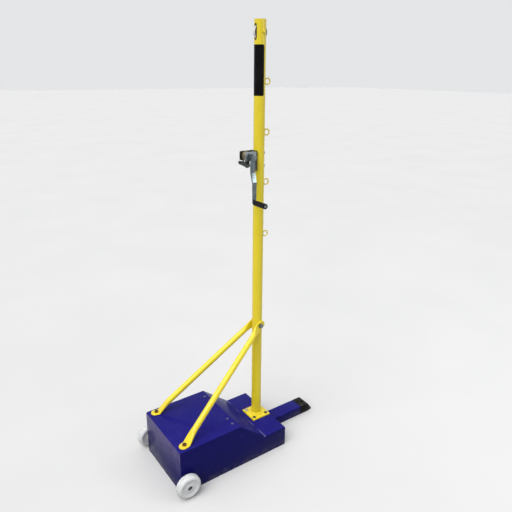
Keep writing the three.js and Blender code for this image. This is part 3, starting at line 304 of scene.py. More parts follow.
def oiled_steel():
    m = Recipe("oiled_steel", Metallic=0.85)
    cloud = m.noise(130, 5, 0.65)
    m.tone = m.blend(m.span(cloud, 0.35, 0.68), (0.062, 0.070, 0.068), (0.138, 0.142, 0.135))
    m.over((0.38, 0.37, 0.35), m.edges(0.0010, BARE_EDGE, 0.45), 0.7)
    return m.finish(m.span(cloud, 0.3, 0.7, 0.34, 0.58), (m.noise(500, 4), 0.00005))


def bronze_drum():
    m = Recipe("bronze_drum", Metallic=0.8)
    cloud = m.noise(85, 5, 0.65)
    m.tone = m.blend(m.span(cloud, 0.3, 0.7), (0.250, 0.212, 0.120), (0.380, 0.330, 0.205))
    dull = m.times((0.52, 0.66, 210, 6, 0.7), 0.6)
    m.over((0.140, 0.128, 0.090), dull)
    # The outer faces of the drum's flanges are bare
    from_middle = m.calc("ABSOLUTE", m.calc("SUBTRACT", m.axis("X", m.point), DRUM_MIDDLE))
    m.over((0.20, 0.215, 0.22), m.span(from_middle, 0.0121, 0.0124))
    rough = m.calc("ADD", m.span(cloud, 0.3, 0.7, 0.32, 0.48), m.times(dull, 0.3))
    turned = m.noise(1300, 2, 0.5, (1, 0.02, 0.02))
    return m.finish(rough, (turned, 0.00003), (m.noise(330, 4), 0.00004))


def nylon(name, depth):
    radius = (0.004, 0.004, 0.004)
    return Recipe(name, IOR=1.5, Subsurface_Weight=depth, Subsurface_Scale=0.5,
                  Subsurface_Radius=radius)


def white_nylon():
    m = nylon("white_nylon", 0.04)
    m.tone = m.blend((0.35, 0.7, 28, 4), (0.84, 0.84, 0.82), (0.78, 0.78, 0.755))
    smudge = m.times((0.50, 0.72, 75, 6, 0.7), 0.30)
    m.over((0.50, 0.49, 0.46), smudge)
    seams = m.edges(0.0014, BARE_EDGE, 0.6)
    m.over((0.36, 0.35, 0.32), seams, (0.42, 0.62, 160, 4), 0.45)
    # Painted shade on the sheave's sides: dark olive, as if shadowed inside the post's slot
    cheek = m.span(m.calc("ABSOLUTE", m.axis("X", m.point)), 0.0038, 0.0043)
    patches = m.patches(0.35, 0.65, 170, 4)
    cheek_shade = m.blend(patches, (0.050, 0.046, 0.022), (0.085, 0.078, 0.045))
    m.over(cheek_shade, cheek, 0.96)
    rough = m.span(m.noise(110, 4), 0.3, 0.7, 0.34, 0.50)
    return m.finish(rough, (m.noise(380, 3), 0.00005), (m.noise(60, 2), 0.00012))


def wheel_nylon():
    m = nylon("wheel_nylon", 0.10)
    large = m.patches(0.35, 0.7, 22, 4)
    m.tone = m.blend(large, (0.665, 0.680, 0.688), (0.625, 0.635, 0.632))
    y = m.calc("SUBTRACT", m.axis("Y", m.point), WHEEL_PLACE[0])
    z = m.calc("SUBTRACT", m.axis("Z", m.point), WHEEL_PLACE[1])
    radius = m.calc("SQRT", m.calc("ADD", m.times(y, y), m.times(z, z)))
    tread = m.times(m.span(radius, 0.0405, 0.0448), (0.38, 0.64, 130, 5, 0.7))
    m.over((0.33, 0.33, 0.335), tread, 0.55)
    smudge = m.times((0.50, 0.72, 60, 6, 0.72), 0.25)
    m.over((0.56, 0.56, 0.55), smudge)
    hub = m.times(m.span(radius, 0.0175, 0.0145), (0.40, 0.65, 220, 4), 0.25)
    m.over((0.42, 0.42, 0.41), hub)
    # Painted shade in the axle's pocket
    m.over((0.085, 0.085, 0.080), m.span(radius, 0.0083, 0.0079), 0.93)
    # Fine turning marks round the axle
    rings = m.add("TexWave", {"wave_type": "RINGS", "rings_direction": "X"}, Scale=1.0)
    fine = 240
    shift = (0, -WHEEL_PLACE[0] * fine, -WHEEL_PLACE[1] * fine)
    shifted = m.add("Mapping", Vector=m.point, Location=shift, Scale=(fine, fine, fine))
    m.put(rings.inputs["Vector"], shifted.outputs[0])
    rough = m.calc("ADD", m.span(m.noise(90, 4), 0.3, 0.7, 0.32, 0.46), m.times(tread, 0.25))
    return m.finish(rough, (rings.outputs["Fac"], 0.000015), (m.noise(330, 3), 0.00006))


def black_plastic(name, tint, dusty):
    m = Recipe(name, IOR=1.5, Specular_IOR_Level=0.08)
    m.tone = m.blend((0.35, 0.7, 40, 4), tint, tuple(1.6 * c for c in tint))
    dust = m.times(m.facing("Z", 0.1, 0.9), (0.42, 0.70, 70, 6, 0.7), dusty)
    scuff = m.times(m.edges(0.0015, 0.08, 0.45), (0.42, 0.62, 190, 4), 0.25)
    m.over((0.16, 0.145, 0.125), m.most(dust, scuff))
    rough = m.calc("ADD", m.span(m.noise(150, 4), 0.3, 0.7, 0.34, 0.5), m.times(dust, 0.6))
    return m.finish(rough, (m.noise(1100, 2), 0.00005), (m.noise(160, 3), 0.00007))


def black_label():
    m = Recipe("black_label", IOR=1.5, Specular_IOR_Level=0.08)
    large = m.patches(0.35, 0.7, 26, 4)
    m.tone = m.blend(large, (0.0030, 0.0024, 0.0028), (0.0055, 0.0045, 0.0052))
    worn = m.times((0.60, 0.70, 140, 6, 0.72, (1, 1, 0.4)), 0.35)
    m.over((0.10, 0.095, 0.095), worn)
    rough = m.calc("ADD", m.span(m.noise(80, 4), 0.3, 0.7, 0.24, 0.36), m.times(worn, 0.4))
    bubbles = m.times(m.span(m.cells(130), 0.30, 0.0), (0.55, 0.62, 50, 2))
    return m.finish(rough, (bubbles, 0.00008), (m.noise(45, 3), 0.0002))


def cast_iron():
    m = Recipe("cast_iron", Metallic=0.4)
    large = m.patches(0.35, 0.7, 90, 6, 0.7)
    m.tone = m.blend(large, (0.040, 0.040, 0.042), (0.085, 0.080, 0.075))
    rough = m.span(m.noise(180, 4), 0.3, 0.7, 0.6, 0.85)
    return m.finish(rough, (m.noise(260, 5, 0.7), 0.0003))


YELLOW = yellow_coat()
BLUE = blue_enamel()
ZINC = zinc_plate("zinc_plate", (0.150, 0.180, 0.195), (0.215, 0.245, 0.255))
BRACKET = zinc_plate("zinc_bracket", (0.200, 0.235, 0.255), (0.285, 0.318, 0.330), shaded=True)
ARM = zinc_plate("zinc_arm", (0.112, 0.142, 0.149), (0.172, 0.203, 0.208), 0.11)
# A lighter copy of the zinc: a painted highlight for the flange bolt that catches the light
HIGHLIGHT_ZINC = zinc_plate("zinc_painted_highlight", (0.34, 0.37, 0.38), (0.48, 0.50, 0.50))
SCREW = zinc_plate("zinc_blue", (0.090, 0.095, 0.235), (0.155, 0.160, 0.330))
DARK_BOLT = dark_bolt(
    "dark_bolt", (0.12, 0.12, 0.125), (0.24, 0.24, 0.245), (0.14, 0.07, 0.035))
SMOKED = dark_bolt("smoked_bolt", (0.10, 0.095, 0.06), (0.17, 0.165, 0.11), (0.06, 0.05, 0.03))
RUSTED = dark_bolt(
    "rusted_bolt", (0.085, 0.040, 0.030), (0.190, 0.115, 0.095), (0.090, 0.028, 0.018))
STEEL = oiled_steel()
BRONZE = bronze_drum()
NYLON = white_nylon()
WHEEL = wheel_nylon()
GRIP = black_plastic("grip_plastic", (0.006, 0.006, 0.0065), 0.06)
CAP = black_plastic("cap_plastic", (0.0030, 0.0030, 0.0025), 0.42)
LABEL = black_label()
IRON = cast_iron()

# ------------------------------------------------------------- mesh helpers
# Lengths from here on are millimetres, and MM turns them into metres

AXES = {"x": (1, 2, 0), "y": (0, 2, 1), "z": (0, 1, 2)}
SMOOTH = 32


def to_axis(axis, u, v, w):
    """A point with (u, v) in the plane across an axis and w along it."""
    point = [0, 0, 0]
    for place, value in zip(AXES[axis], (u, v, w)):
        point[place] = value
    return Vector(point)


def strip(bm, a, b):
    """Faces between two lines of vertices."""
    for corners in zip(a, a[1:], b[1:], b):
        bm.faces.new(corners)


def skin(rows, ring=False, loop=True):
    """A bmesh over rows of points. A ring joins its last row to the first one, and anything
    else is capped at both ends. A loop joins each row's last point to its first one."""
    bm = bmesh.new()
    made = [[bm.verts.new(Vector(p) * MM) for p in row] for row in rows]
    lines = [row + row[:1] if loop else row for row in made]
    for a, b in zip(lines, lines[1:] + lines[:1] if ring else lines[1:]):
        strip(bm, a, b)
    if not ring:
        bm.faces.new(made[0])
        bm.faces.new(made[-1])
    return bm


def finish_mesh(bm, within=0.002):
    """Makes an object of a bmesh, with the points joined that lie within a distance."""
    bmesh.ops.remove_doubles(bm, verts=bm.verts, dist=within * MM)
    bmesh.ops.dissolve_degenerate(bm, edges=bm.edges, dist=1e-7)
    bmesh.ops.recalc_face_normals(bm, faces=bm.faces)
    mesh = bpy.data.meshes.new("mesh")
    bm.to_mesh(mesh)
    bm.free()
    return add_object("mesh", mesh)


def discard(made):
    mesh = made.data
    bpy.data.objects.remove(made)
    bpy.data.meshes.remove(mesh)


def bake(made):
    """Takes the modifiers' result as the piece's own mesh."""
    graph = bpy.context.evaluated_depsgraph_get()
    mesh = bpy.data.meshes.new_from_object(made.evaluated_get(graph))
    made.modifiers.clear()
    old = made.data
    made.data = mesh
    bpy.data.meshes.remove(old)
    return made


def soften(made, width, segments=3, angle=40):
    """Rounds the edges that are sharper than the angle."""
    mod = made.modifiers.new("edge", "BEVEL")
    mod.width = width * MM
    mod.segments = segments
    mod.limit_method = "ANGLE"
    mod.angle_limit = math.radians(angle)
    return bake(made)


def combine(operation, made, *others):
    for other in others:
        mod = made.modifiers.new("combine", "BOOLEAN")
        mod.object = other
        mod.operation = operation
        mod.solver = "EXACT"
        bake(made)
        discard(other)
    return made


def cut(made, *tools):
    return combine("DIFFERENCE", made, *tools)


def merge(made, *others):
    """Puts other meshes into the piece as they are."""
    bm = bmesh.new()
    bm.from_mesh(made.data)
    for other in others:
        bm.from_mesh(other.data)
        discard(other)
    bm.to_mesh(made.data)
    bm.free()
    return made


def revolve(axis, centre, count, outline):
    """Turns outline(turn), a line of (radius, place along the axis), round an axis.

    A line that starts on the axis ends there too, and any other one is a loop."""
    rows = []
    for i in range(count):
        turn = TAU * i / count
        rows.append([
            Vector(centre) + to_axis(axis, r * math.cos(turn), r * math.sin(turn), a)
            for r, a in outline(turn)
        ])
    return finish_mesh(skin(rows, ring=True, loop=outline(0)[0][0] > 0))


def lathe(profile, axis, centre=(0, 0, 0), segments=96):
    return revolve(axis, centre, segments, lambda turn: profile)


def rod(axis, radius, start, end, centre=(0, 0, 0), segments=48):
    profile = [(0, start), (radius, start), (radius, end), (0, end)]
    return lathe(profile, axis, centre, segments)


def sided(profile, side):
    """A profile on the near side (1) or mirrored to the far side (-1)."""
    return [(r, side * a) for r, a in profile]


def arc(cx, cy, radius, start, end, steps):
    turns = [math.radians(start + (end - start) * i / steps) for i in range(steps + 1)]
    return [(cx + radius * math.cos(t), cy + radius * math.sin(t)) for t in turns]


def rounded(corners, steps=8):
    """A loop through corners of (x, y, radius), each rounded by an arc."""
    loop = []
    count = len(corners)
    for i, (x, y, radius) in enumerate(corners):
        if not radius:
            loop.append((x, y))
            continue
        corner = Vector((x, y))
        back = (Vector(corners[i - 1][:2]) - corner).normalized()
        ahead = (Vector(corners[(i + 1) % count][:2]) - corner).normalized()
        half = back.angle(ahead) / 2
        centre = corner + (back + ahead).normalized() * (radius / math.sin(half))
        reach = radius / math.tan(half)
        start = corner + back * reach - centre
        end = corner + ahead * reach - centre
        first = math.atan2(start.y, start.x)
        sweep = math.atan2(start.x * end.y - start.y * end.x, start.dot(end))
        for k in range(steps + 1):
            turn = first + sweep * k / steps
            loop.append((centre.x + radius * math.cos(turn), centre.y + radius * math.sin(turn)))
    return loop


def rectangle(left, bottom, right, top, radius, steps=8):
    corners = ((left, bottom), (right, bottom), (right, top), (left, top))
    return rounded([(x, y, radius) for x, y in corners], steps)


def link(radius, end_radius, x, y, steps=16):
    """The loop round two circles, the second one at (x, y) from the first."""
    length = math.hypot(x, y)
    turn = math.degrees(math.atan2(y, x))
    tangent = math.degrees(math.acos((radius - end_radius) / length))
    return (arc(0, 0, radius, turn + tangent, turn - tangent + 360, 2 * steps)
            + arc(x, y, end_radius, turn - tangent, turn + tangent, steps))


def prism(loop, axis, start, end, shift=(0, 0)):
    rows = [
        [to_axis(axis, u + shift[0], v + shift[1], w) for u, v in loop] for w in (start, end)
    ]
    return finish_mesh(skin(rows))


def coat(made, name, material, body, angle=SMOOTH):
    """Gives a mesh its name and material, shaded smooth across edges up to the angle."""
    made.name = made.data.name = name
    made.data.materials.clear()
    made.data.materials.append(material)
    for face in made.data.polygons:
        face.material_index = 0
        face.use_smooth = True
    made.data.set_sharp_from_angle(angle=math.radians(angle))
    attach(made, body)


def wear(made, material, node, angle=SMOOTH):
    """Coats a piece and lets it stand for its CAD node."""
    coat(made, node + "_dressed", material, BODY_OF[node], angle)
    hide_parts(node)


def turned(node, material, profile, centre, segments=48, angle=SMOOTH, axis="x"):
    """A whole piece that is one turned outline."""
    wear(lathe(profile, axis, centre, segments), material, node, angle)


# --------------------------------------------------------------- fasteners

M6 = {"shank": 3, "across": 10, "head": 4, "nut": 5, "pitch": 1.0}
M8 = {"shank": 4, "across": 13, "head": 5.3, "nut": 6.5, "pitch": 1.25}
M10 = {"shank": 5, "across": 16, "head": 6.4, "nut": 8, "pitch": 1.5}
HEX_COUNT = 48
HEX_FLAT, HEX_SLOPE = 0.955, math.tan(math.radians(28))
NUT_PLAY, NUT_LEAD, NUT_LEAD_DEEP = 0.25, 0.35, 0.5
DOME_RADIUS, DOME_HEIGHT, DOME_RIM, DOME_SOCKET = 7, 3.5, 0.8, 5
THREAD_LENGTH, POINT_LENGTH, POINT_SLOPE, SHANK_PLAY = 6.0, 0.7, 0.7, 0.05
THREAD_ROUND, THREAD_ROWS, THREAD_DEPTH = 32, 6, 0.6


def hex_radius(turn, across):
    part = (turn + math.pi / 6) % (math.pi / 3) - math.pi / 6
    return across / 2 / math.cos(part)


def hex_body(axis, across, start, end, centre, bore=0.0):
    """A hexagon with its corners chamfered at its end, or at both ends if it has a bore."""
    flat = across / 2 * HEX_FLAT
    sign = 1 if end > start else -1

    def outline(turn):
        r = hex_radius(turn, across)
        drop = max(r - flat, 0) * HEX_SLOPE
        row = [(flat, end), (r, end - sign * drop)]
        if not bore:
            return [(0, end)] + row + [(r, start), (0, start)]
        row += [(r, start + sign * drop), (flat, start)]
        lead, deep = bore + NUT_LEAD, sign * NUT_LEAD_DEEP
        return [(bore, end - deep), (lead, end)] + row + [(lead, start), (bore, start + deep)]

    return revolve(axis, centre, HEX_COUNT, outline)


def domed_head(axis, start, height, centre):
    """A low domed head with a hexagon socket in its top."""
    sign = 1 if height > 0 else -1
    rim, top = start + sign * DOME_RIM, start + height
    foot = [(0, start), (DOME_RADIUS - 0.3, start), (DOME_RADIUS, start + sign * 0.3)]
    tilts = [math.radians(k * 10) for k in range(8)]
    dome = [
        (DOME_RADIUS * math.cos(t) ** 0.8, rim + (height - sign * DOME_RIM) * math.sin(t))
        for t in tilts
    ]

    def outline(turn):
        s = hex_radius(turn, DOME_SOCKET)
        socket = [(s + 0.25, top), (s, top - sign * 0.25), (s, start + height * 0.3)]
        return foot + dome + socket + [(0, start + height * 0.25)]

    return revolve(axis, centre, HEX_COUNT, outline)


def thread(axis, radius, pitch, start, end, centre):
    """The turned end of a screw: a helical ridge and a small point chamfer."""
    length = abs(end - start)
    sign = 1 if end > start else -1
    count = max(int(length / pitch * THREAD_ROWS), 4)
    rows = []
    for k in range(count + 1):
        a = length * k / count
        point = max(0.0, a - (length - POINT_LENGTH)) * POINT_SLOPE
        row = []
        for i in range(THREAD_ROUND):
            turn = TAU * i / THREAD_ROUND
            phase = (a / pitch - i / THREAD_ROUND) % 1
            depth = 0.45 * (1 - abs(2 * phase - 1))
            r = radius - depth * pitch * THREAD_DEPTH - point
            place = to_axis(axis, r * math.cos(turn), r * math.sin(turn), start + sign * a)
            row.append(Vector(centre) + place)
        rows.append(row)
    return finish_mesh(skin(rows), within=0.0005)


def bolt(node, axis, size, seat, centre, grip, material, domed):
    """A bolt whose head sits at a place along the axis, on the side away from zero."""
    sign = 1 if seat > 0 else -1
    if domed:
        head = domed_head(axis, seat, sign * DOME_HEIGHT, centre)
    else:
        head = hex_body(axis, size["across"], seat, seat + sign * size["head"], centre)
    tip = seat - sign * grip
    start = tip + sign * THREAD_LENGTH
    shank = rod(axis, size["shank"] - SHANK_PLAY, start, seat, centre, 32)
    turns = thread(axis, size["shank"], size["pitch"], start, tip, centre)
    wear(merge(head, shank, turns), material, node)


def nut(node, axis, size, start, centre, material):
    """A nut that starts at a place along the axis and reaches away from zero."""
    end = start + (1 if start > 0 else -1) * size["nut"]
    bore = size["shank"] + NUT_PLAY
    wear(hex_body(axis, size["across"], start, end, centre, bore), material, node)


def fasten(name, axis, size, seats, centre, grip, looks, domed=False):
    """A bolt and its nut, with the places of their seats along the axis."""
    bolt(name.format("bolt"), axis, size, seats[0], centre, grip, looks[0], domed)
    nut(name.format("nut"), axis, size, seats[1], centre, looks[1])


# -------------------------------------------------------------------- post

GAP = 0.3
FLANGE_LOW, FLANGE_HIGH, FLANGE_SEAT = 82.3, 88.3, 88.6
FLANGE_HALF, FLANGE_CORNER, FLANGE_WELD = 40, 1.5, 5.2
FLANGE_PITCH, FLANGE_GRIP, FLANGE_NUT = 28, 18.4, 72.2
POST_RADIUS, POST_WALL, POST_TOP = 19, 2.5, 1550
POST_SEAT = POST_RADIUS + GAP
# Where rings of vertices go round the tube
POST_RINGS = (
    FLANGE_SEAT, 120, 300, 480, 508, 536, 700, 900, 1080, 1092, 1135, 1160, 1300, 1400,
    1470, 1480, 1488, 1500, 1513, 1526, 1538, 1546, POST_TOP,
)
SHEAVE_Z, SHEAVE_BORE = 1513, 3.3
RING_Z = (1366, 1203, 1034, 845)
RING_MAJOR, RING_MINOR, RING_STEPS, WIRE_STEPS = 10, 2.2, 64, 20
BEAD_STEPS, BEAD_BULGE, BEAD_ROOT, RIPPLE = 7, 0.10, 0.6, 0.22


def post_tube():
    outer = [(POST_RADIUS, z) for z in POST_RINGS]
    inner = [(POST_RADIUS - POST_WALL, z) for z in reversed(POST_RINGS)]
    made = lathe(outer + inner, "z")
    half_wide, half_long = 7, 25
    loop = link(half_wide, half_wide, 0, 2 * (half_long - half_wide), 12)
    shift = (0, SHEAVE_Z - half_long + half_wide)
    made = cut(made, prism(loop, "y", -30, 30, shift))
    wear(soften(made, 0.55), YELLOW, "post_tube")


def post_top_plate():
    r, low, top = POST_RADIUS - POST_WALL - GAP, POST_TOP - 3, POST_TOP - 0.4
    profile = [
        (0, low), (r, low), (r, top - 0.6), (r - 0.2, top - 0.2), (r - 0.6, top),
        (r - 5, top - 0.25), (0, top - 0.35),
    ]
    turned("post_top_plate", YELLOW, profile, (0, 0, 0), 96, axis="z")


def label():
    """A thin wrapped label with round corners on the side of the post away from the net."""
    low, high, corner, rows, columns = 1321, 1476, 4.0, 60, 72
    first, last = math.radians(-205), math.radians(11)
    radius, thick = POST_RADIUS + 0.04, 0.14
    width = (last - first) * radius
    bm = bmesh.new()
    skins = []
    for r in (radius, radius + thick):
        lines = []
        for j in range(rows + 1):
            z = low + (high - low) * j / rows
            inside = max(corner - min(z - low, high - z), 0)
            inset = corner - math.sqrt(corner ** 2 - inside ** 2)
            line = []
            for i in range(columns + 1):
                turn = first + (inset + (width - 2 * inset) * i / columns) / radius
                line.append(bm.verts.new(Vector((r * math.cos(turn), r * math.sin(turn), z)) * MM))
            lines.append(line)
        for a, b in zip(lines, lines[1:]):
            strip(bm, a, b)
        skins.append(lines)
    inner, outer = skins
    for k in (0, -1):
        strip(bm, inner[k], outer[k])
        strip(bm, [line[k] for line in inner], [line[k] for line in outer])
    made = finish_mesh(bm, within=0.0005)
    coat(made, "post_label", LABEL, "post")


def sheave():
    side, dish, hub, rim, r = 5, 3.5, 9, 15.5, 24
    groove_deep, groove_half = 4.5, 3.5
    outer = [
        (SHEAVE_BORE, side), (hub - 0.5, side), (hub, side - 0.5), (hub + 0.6, dish),
        (rim - 0.6, dish), (rim, side - 0.5), (rim + 0.5, side), (r - 0.6, side),
        (r, side - 0.5), (r, side - 1.2),
    ]
    turns = [math.radians(a) for a in range(12, 180, 12)]
    groove = [(r - groove_deep * math.sin(t), groove_half * math.cos(t)) for t in turns]
    loop = outer + groove + sided(reversed(outer), -1)
    turned("head_sheave", NYLON, loop, (0, 0, SHEAVE_Z), 96, 40)


def sheave_spacers():
    bore, r, start, end = SHEAVE_BORE, 6.5, 5.3, 16.2
    profile = [(bore, start), (r - 0.3, start), (r, start + 0.3), (r, end), (bore, end)]
    for side, name in SIDES:
        turned(f"sheave_spacer_{name}", NYLON, sided(profile, side), (0, 0, SHEAVE_Z))


def bead(path):
    """A weld bead along a closed path of (corner, direction up one face, direction out along
    the other face, size)."""
    rows = []
    for corner, up, out, size in path:
        row = [corner - (up + out) * BEAD_ROOT]
        for k in range(BEAD_STEPS + 1):
            turn = math.pi / 2 * k / BEAD_STEPS
            bulge = size * (1 + BEAD_BULGE * math.sin(2 * turn))
            row.append(corner + up * (bulge * math.cos(turn)) + out * (bulge * math.sin(turn)))
        rows.append(row)
    return finish_mesh(skin(rows, ring=True), within=0.0005)


def ripple(i, per, base):
    return base * (1 + RIPPLE * (0.5 - abs((i / per) % 1 - 0.35)))


def foot_flange():
    half = FLANGE_HALF
    loop = rectangle(-half, -half, half, half, FLANGE_CORNER, 4)
    made = soften(prism(loop, "z", FLANGE_LOW, FLANGE_HIGH), 0.7, 3, 35)
    path = []
    count = 180
    for i in range(count):
        turn = TAU * i / count
        out = Vector((math.cos(turn), math.sin(turn), 0))
        corner = out * POST_SEAT + Vector((0, 0, FLANGE_HIGH))
        path.append((corner, Vector((0, 0, 1)), out, ripple(i, 5, FLANGE_WELD)))
    wear(merge(made, bead(path)), YELLOW, "foot_flange", 50)


def ring_wire(centre):
    rows = []
    for i in range(RING_STEPS):
        turn = TAU * i / RING_STEPS
        out = Vector((0, math.cos(turn), math.sin(turn)))
        row = []
        for k in range(WIRE_STEPS):
            tilt = TAU * k / WIRE_STEPS
            aside = Vector((RING_MINOR * math.sin(tilt), 0, 0))
            row.append(centre + out * (RING_MAJOR + RING_MINOR * math.cos(tilt)) + aside)
        rows.append(row)
    return finish_mesh(skin(rows, ring=True))


def ring_weld(number, side, z):
    """A lumpy weld on one side of a ring's foot."""
    wide, high = 1.9, 5.2
    middle = Vector((side * 1.15, POST_SEAT + 0.6, z))
    bm = bmesh.new()
    bmesh.ops.create_uvsphere(bm, u_segments=20, v_segments=12, radius=1.0)
    for v in bm.verts:
        x, y, up = v.co * (1 + 0.12 * math.sin(5 * v.co.z + number) * math.cos(4 * v.co.y))
        v.co = (Vector((wide * x, wide * y, high * up)) + middle) * MM
    return finish_mesh(bm, within=0.0001)


def net_rings():
    for number, z in enumerate(RING_Z, 1):
        wire = ring_wire(Vector((0, POST_SEAT + RING_MINOR + RING_MAJOR, z)))
        made = merge(wire, *[ring_weld(number, side, z) for side in (-1, 1)])
        wear(made, YELLOW, f"net_ring_{number}", 60)


def flange_bolts():
    corners = ((1, 1), (-1, 1), (-1, -1), (1, -1))
    for number, (x, y) in enumerate(corners, 1):
        place = (x * FLANGE_PITCH, y * FLANGE_PITCH, 0)
        # Bolt 3 wears the lighter zinc as a painted highlight
        looks = (HIGHLIGHT_ZINC if number == 3 else SMOKED, DARK_BOLT)
        seats = (FLANGE_SEAT, FLANGE_NUT)
        fasten(f"flange_{{}}_{number}", "z", M8, seats, place, FLANGE_GRIP, looks, domed=True)


post_tube()
post_top_plate()
label()
sheave()
sheave_spacers()
fasten("sheave_{}", "x", M6, (POST_SEAT, -POST_SEAT), (0, 0, SHEAVE_Z), 2 * POST_SEAT + 6.5,
       (YELLOW, ZINC))
foot_flange()
net_rings()
flange_bolts()

# --------------------------------------------------------------------- box

BOX_SIDE, BOX_REAR, BOX_FRONT, BOX_TOP = 138, -415, 44, 175
PLATFORM, SLOPE_TOP, SLOPE_FOOT = 82, -167, -54
SHEET, BEND = 3, 5
SCREW_X, SCREW_Y, SCREW_SEAT = (-98, 70, 104), -182, 175.3
SCREW_RADIUS, SCREW_RIM, SCREW_HIGH = 5.5, 0.4, 3.0
CROSS = (5.4, 1.1, 3.0)
WHEEL_INNER, WHEEL_OUTER, WHEEL_BORE, WHEEL_POCKET = 147, 177, 5.3, 8
WHEEL_CENTRE = (0, WHEEL_PLACE[0] / MM, WHEEL_PLACE[1] / MM)
OUT_HALF, OUT_HIGH, OUT_CORNER, OUT_WALL = 30, 40, 4.5, 2.5
OUT_START, OUT_END = BOX_FRONT + GAP, 215


def box_loop(inset, bottom):
    """The box's outline from the side, or the one that lies inside it by a wall."""
    slope = math.atan2(BOX_TOP - PLATFORM, SLOPE_FOOT - SLOPE_TOP)
    shift = inset * math.tan(slope / 2)
    rear, front, top, low = (
        BOX_REAR + inset, BOX_FRONT - inset, BOX_TOP - inset, PLATFORM - inset)
    return rounded([
        (rear, bottom, 0), (front, bottom, 0), (front, low, BEND - inset),
        (SLOPE_FOOT - shift, low, BEND + 2 + inset), (SLOPE_TOP - shift, top, BEND + 2 - inset),
        (rear, top, BEND - inset),
    ], 10)


def ballast_box():
    made = prism(box_loop(0, 0), "x", -BOX_SIDE, BOX_SIDE)
    inner = prism(box_loop(SHEET, -5), "x", SHEET - BOX_SIDE, BOX_SIDE - SHEET)
    wear(soften(cut(made, inner), 1.5), BLUE, "ballast_box")


def cross(x, turn):
    """One slot of a screw's cross."""
    bm = bmesh.new()
    bmesh.ops.create_cube(bm, size=1.0)
    spin = Matrix.Rotation(turn, 3, "Z")
    middle = Vector((x, SCREW_Y, SCREW_SEAT + SCREW_HIGH + 0.2))
    for v in bm.verts:
        sized = Vector([a * b for a, b in zip(v.co, CROSS)])
        v.co = (spin @ sized + middle) * MM
    return finish_mesh(bm)


def stop_screws():
    rim, top = SCREW_SEAT + SCREW_RIM, SCREW_SEAT + SCREW_HIGH
    tilts = [math.radians(a) for a in range(0, 90, 10)]
    dome = [(SCREW_RADIUS * math.cos(t), rim + (top - rim) * math.sin(t)) for t in tilts]
    profile = [(0, SCREW_SEAT), (SCREW_RADIUS, SCREW_SEAT)] + dome + [(0, top)]
    for number, x in enumerate(SCREW_X, 1):
        place = (x, SCREW_Y, 0)
        turn = math.radians(20 * number)
        head = lathe(profile, "z", place, 40)
        head = cut(head, cross(x, turn), cross(x, turn + math.pi / 2))
        shank = rod("z", 3, 166, SCREW_SEAT + 0.5, place, 24)
        wear(merge(head, shank), SCREW, f"stop_screw_{number}")


def wheel_profile():
    """From the bore's pocket over the outer face and shoulder to the middle of the tread."""
    side, r, reach = (WHEEL_OUTER - WHEEL_INNER) / 2, 45, 12
    pocket, deep, hub = WHEEL_POCKET, side - 9.5, 12
    face = [
        (WHEEL_BORE, deep), (pocket, deep), (pocket, side - 1.9), (pocket + 0.4, side - 1.5),
        (hub, side - 1.5), (hub + 0.8, side - 1.8), (hub + 1.2, side - 2.3),
    ]
    for t in (0.25, 0.5, 0.75, 1.0):
        face.append((hub + 1.4 + 6.6 * t, side - 2.5 - 0.5 * math.sin(t * math.pi / 2)))
    face += [
        (24, side - 2.6), (28, side - 1.7), (30, side - 1.0), (31.5, side - 0.4),
        (32.6, side - 0.1),
    ]
    turns = [math.radians(a) for a in range(0, 91, 9)]
    shoulder = [
        (r - reach * (1 - math.sin(t)), side - reach * (1 - math.cos(t))) for t in turns]
    return face + shoulder + [(r, 2.5), (r, 0.3), (r - 0.15, 0.0)]


def wheels():
    outer = wheel_profile()
    inner = [(r, -a) for r, a in reversed(outer[:-1]) if r > WHEEL_POCKET + 0.41]
    inner += [(WHEEL_BORE + 0.3, -13.5), (WHEEL_BORE, -13.2)]
    for side, name in SIDES:
        centre = (side * (WHEEL_INNER + WHEEL_OUTER) / 2, *WHEEL_CENTRE[1:])
        turned(f"wheel_{name}", WHEEL, sided(outer + inner, side), centre, 128, 26)


def axle_parts():
    r, end, bore, centre = 5, 171.5, 5.3, WHEEL_CENTRE
    half = [(r, end - 0.8), (r - 0.8, end), (0, end)]
    turned("wheel_axle", STEEL, sided(half[::-1], -1) + half, centre)
    start, stop = 138.3, 148.2
    spacer = [
        (bore, start), (8.7, start), (9, start + 0.3), (9, stop - 0.3), (8.7, stop), (bore, stop)]
    seat = 167.8
    clip = [
        (bore, seat), (7.4, seat), (7.4, seat + 0.8), (6.6, seat + 1.3), (5.6, seat + 1.5),
        (bore, seat + 1.2),
    ]
    for side, name in SIDES:
        turned(f"axle_spacer_{name}", ZINC, sided(spacer, side), centre)
        turned(f"axle_clip_{name}", STEEL, sided(clip, side), centre)


def outrigger_loop(inset, steps=8):
    half, high = OUT_HALF - inset, OUT_HIGH - inset
    return rectangle(-half, inset, half, high, OUT_CORNER - inset, steps)


def outrigger_weld():
    """The weld round the tube's rear end, thin under it."""
    dense = []
    loop = outrigger_loop(0, 10)
    for (u, v), (nu, nv) in zip(loop, loop[1:] + loop[:1]):
        count = max(1, int(math.hypot(nu - u, nv - v) / 1.2))
        dense += [(u + (nu - u) * t / count, v + (nv - v) * t / count) for t in range(count)]
    path = []
    for i, (u, v) in enumerate(dense):
        along = (Vector(dense[(i + 1) % len(dense)]) - Vector(dense[i - 1])).normalized()
        out = Vector((along.y, 0, -along.x))
        size = ripple(i, 4, 3.6 if v > 0.6 else 0.4)
        if out.z < -0.5:
            size = min(size, max(v, 0.4))
        path.append((Vector((u, OUT_START - 0.2, v)), Vector((0, 1, 0)), out, size))
    made = bead(path)
    for vertex in made.data.vertices:
        vertex.co.z = max(vertex.co.z, 0.0)
    return made


def outrigger():
    made = prism(outrigger_loop(0), "y", OUT_START, OUT_END)
    bore = prism(outrigger_loop(OUT_WALL), "y", OUT_START - 5, OUT_END + 5)
    made = soften(cut(made, bore), 0.35, 2)
    wear(merge(made, outrigger_weld()), BLUE, "outrigger_tube", 50)


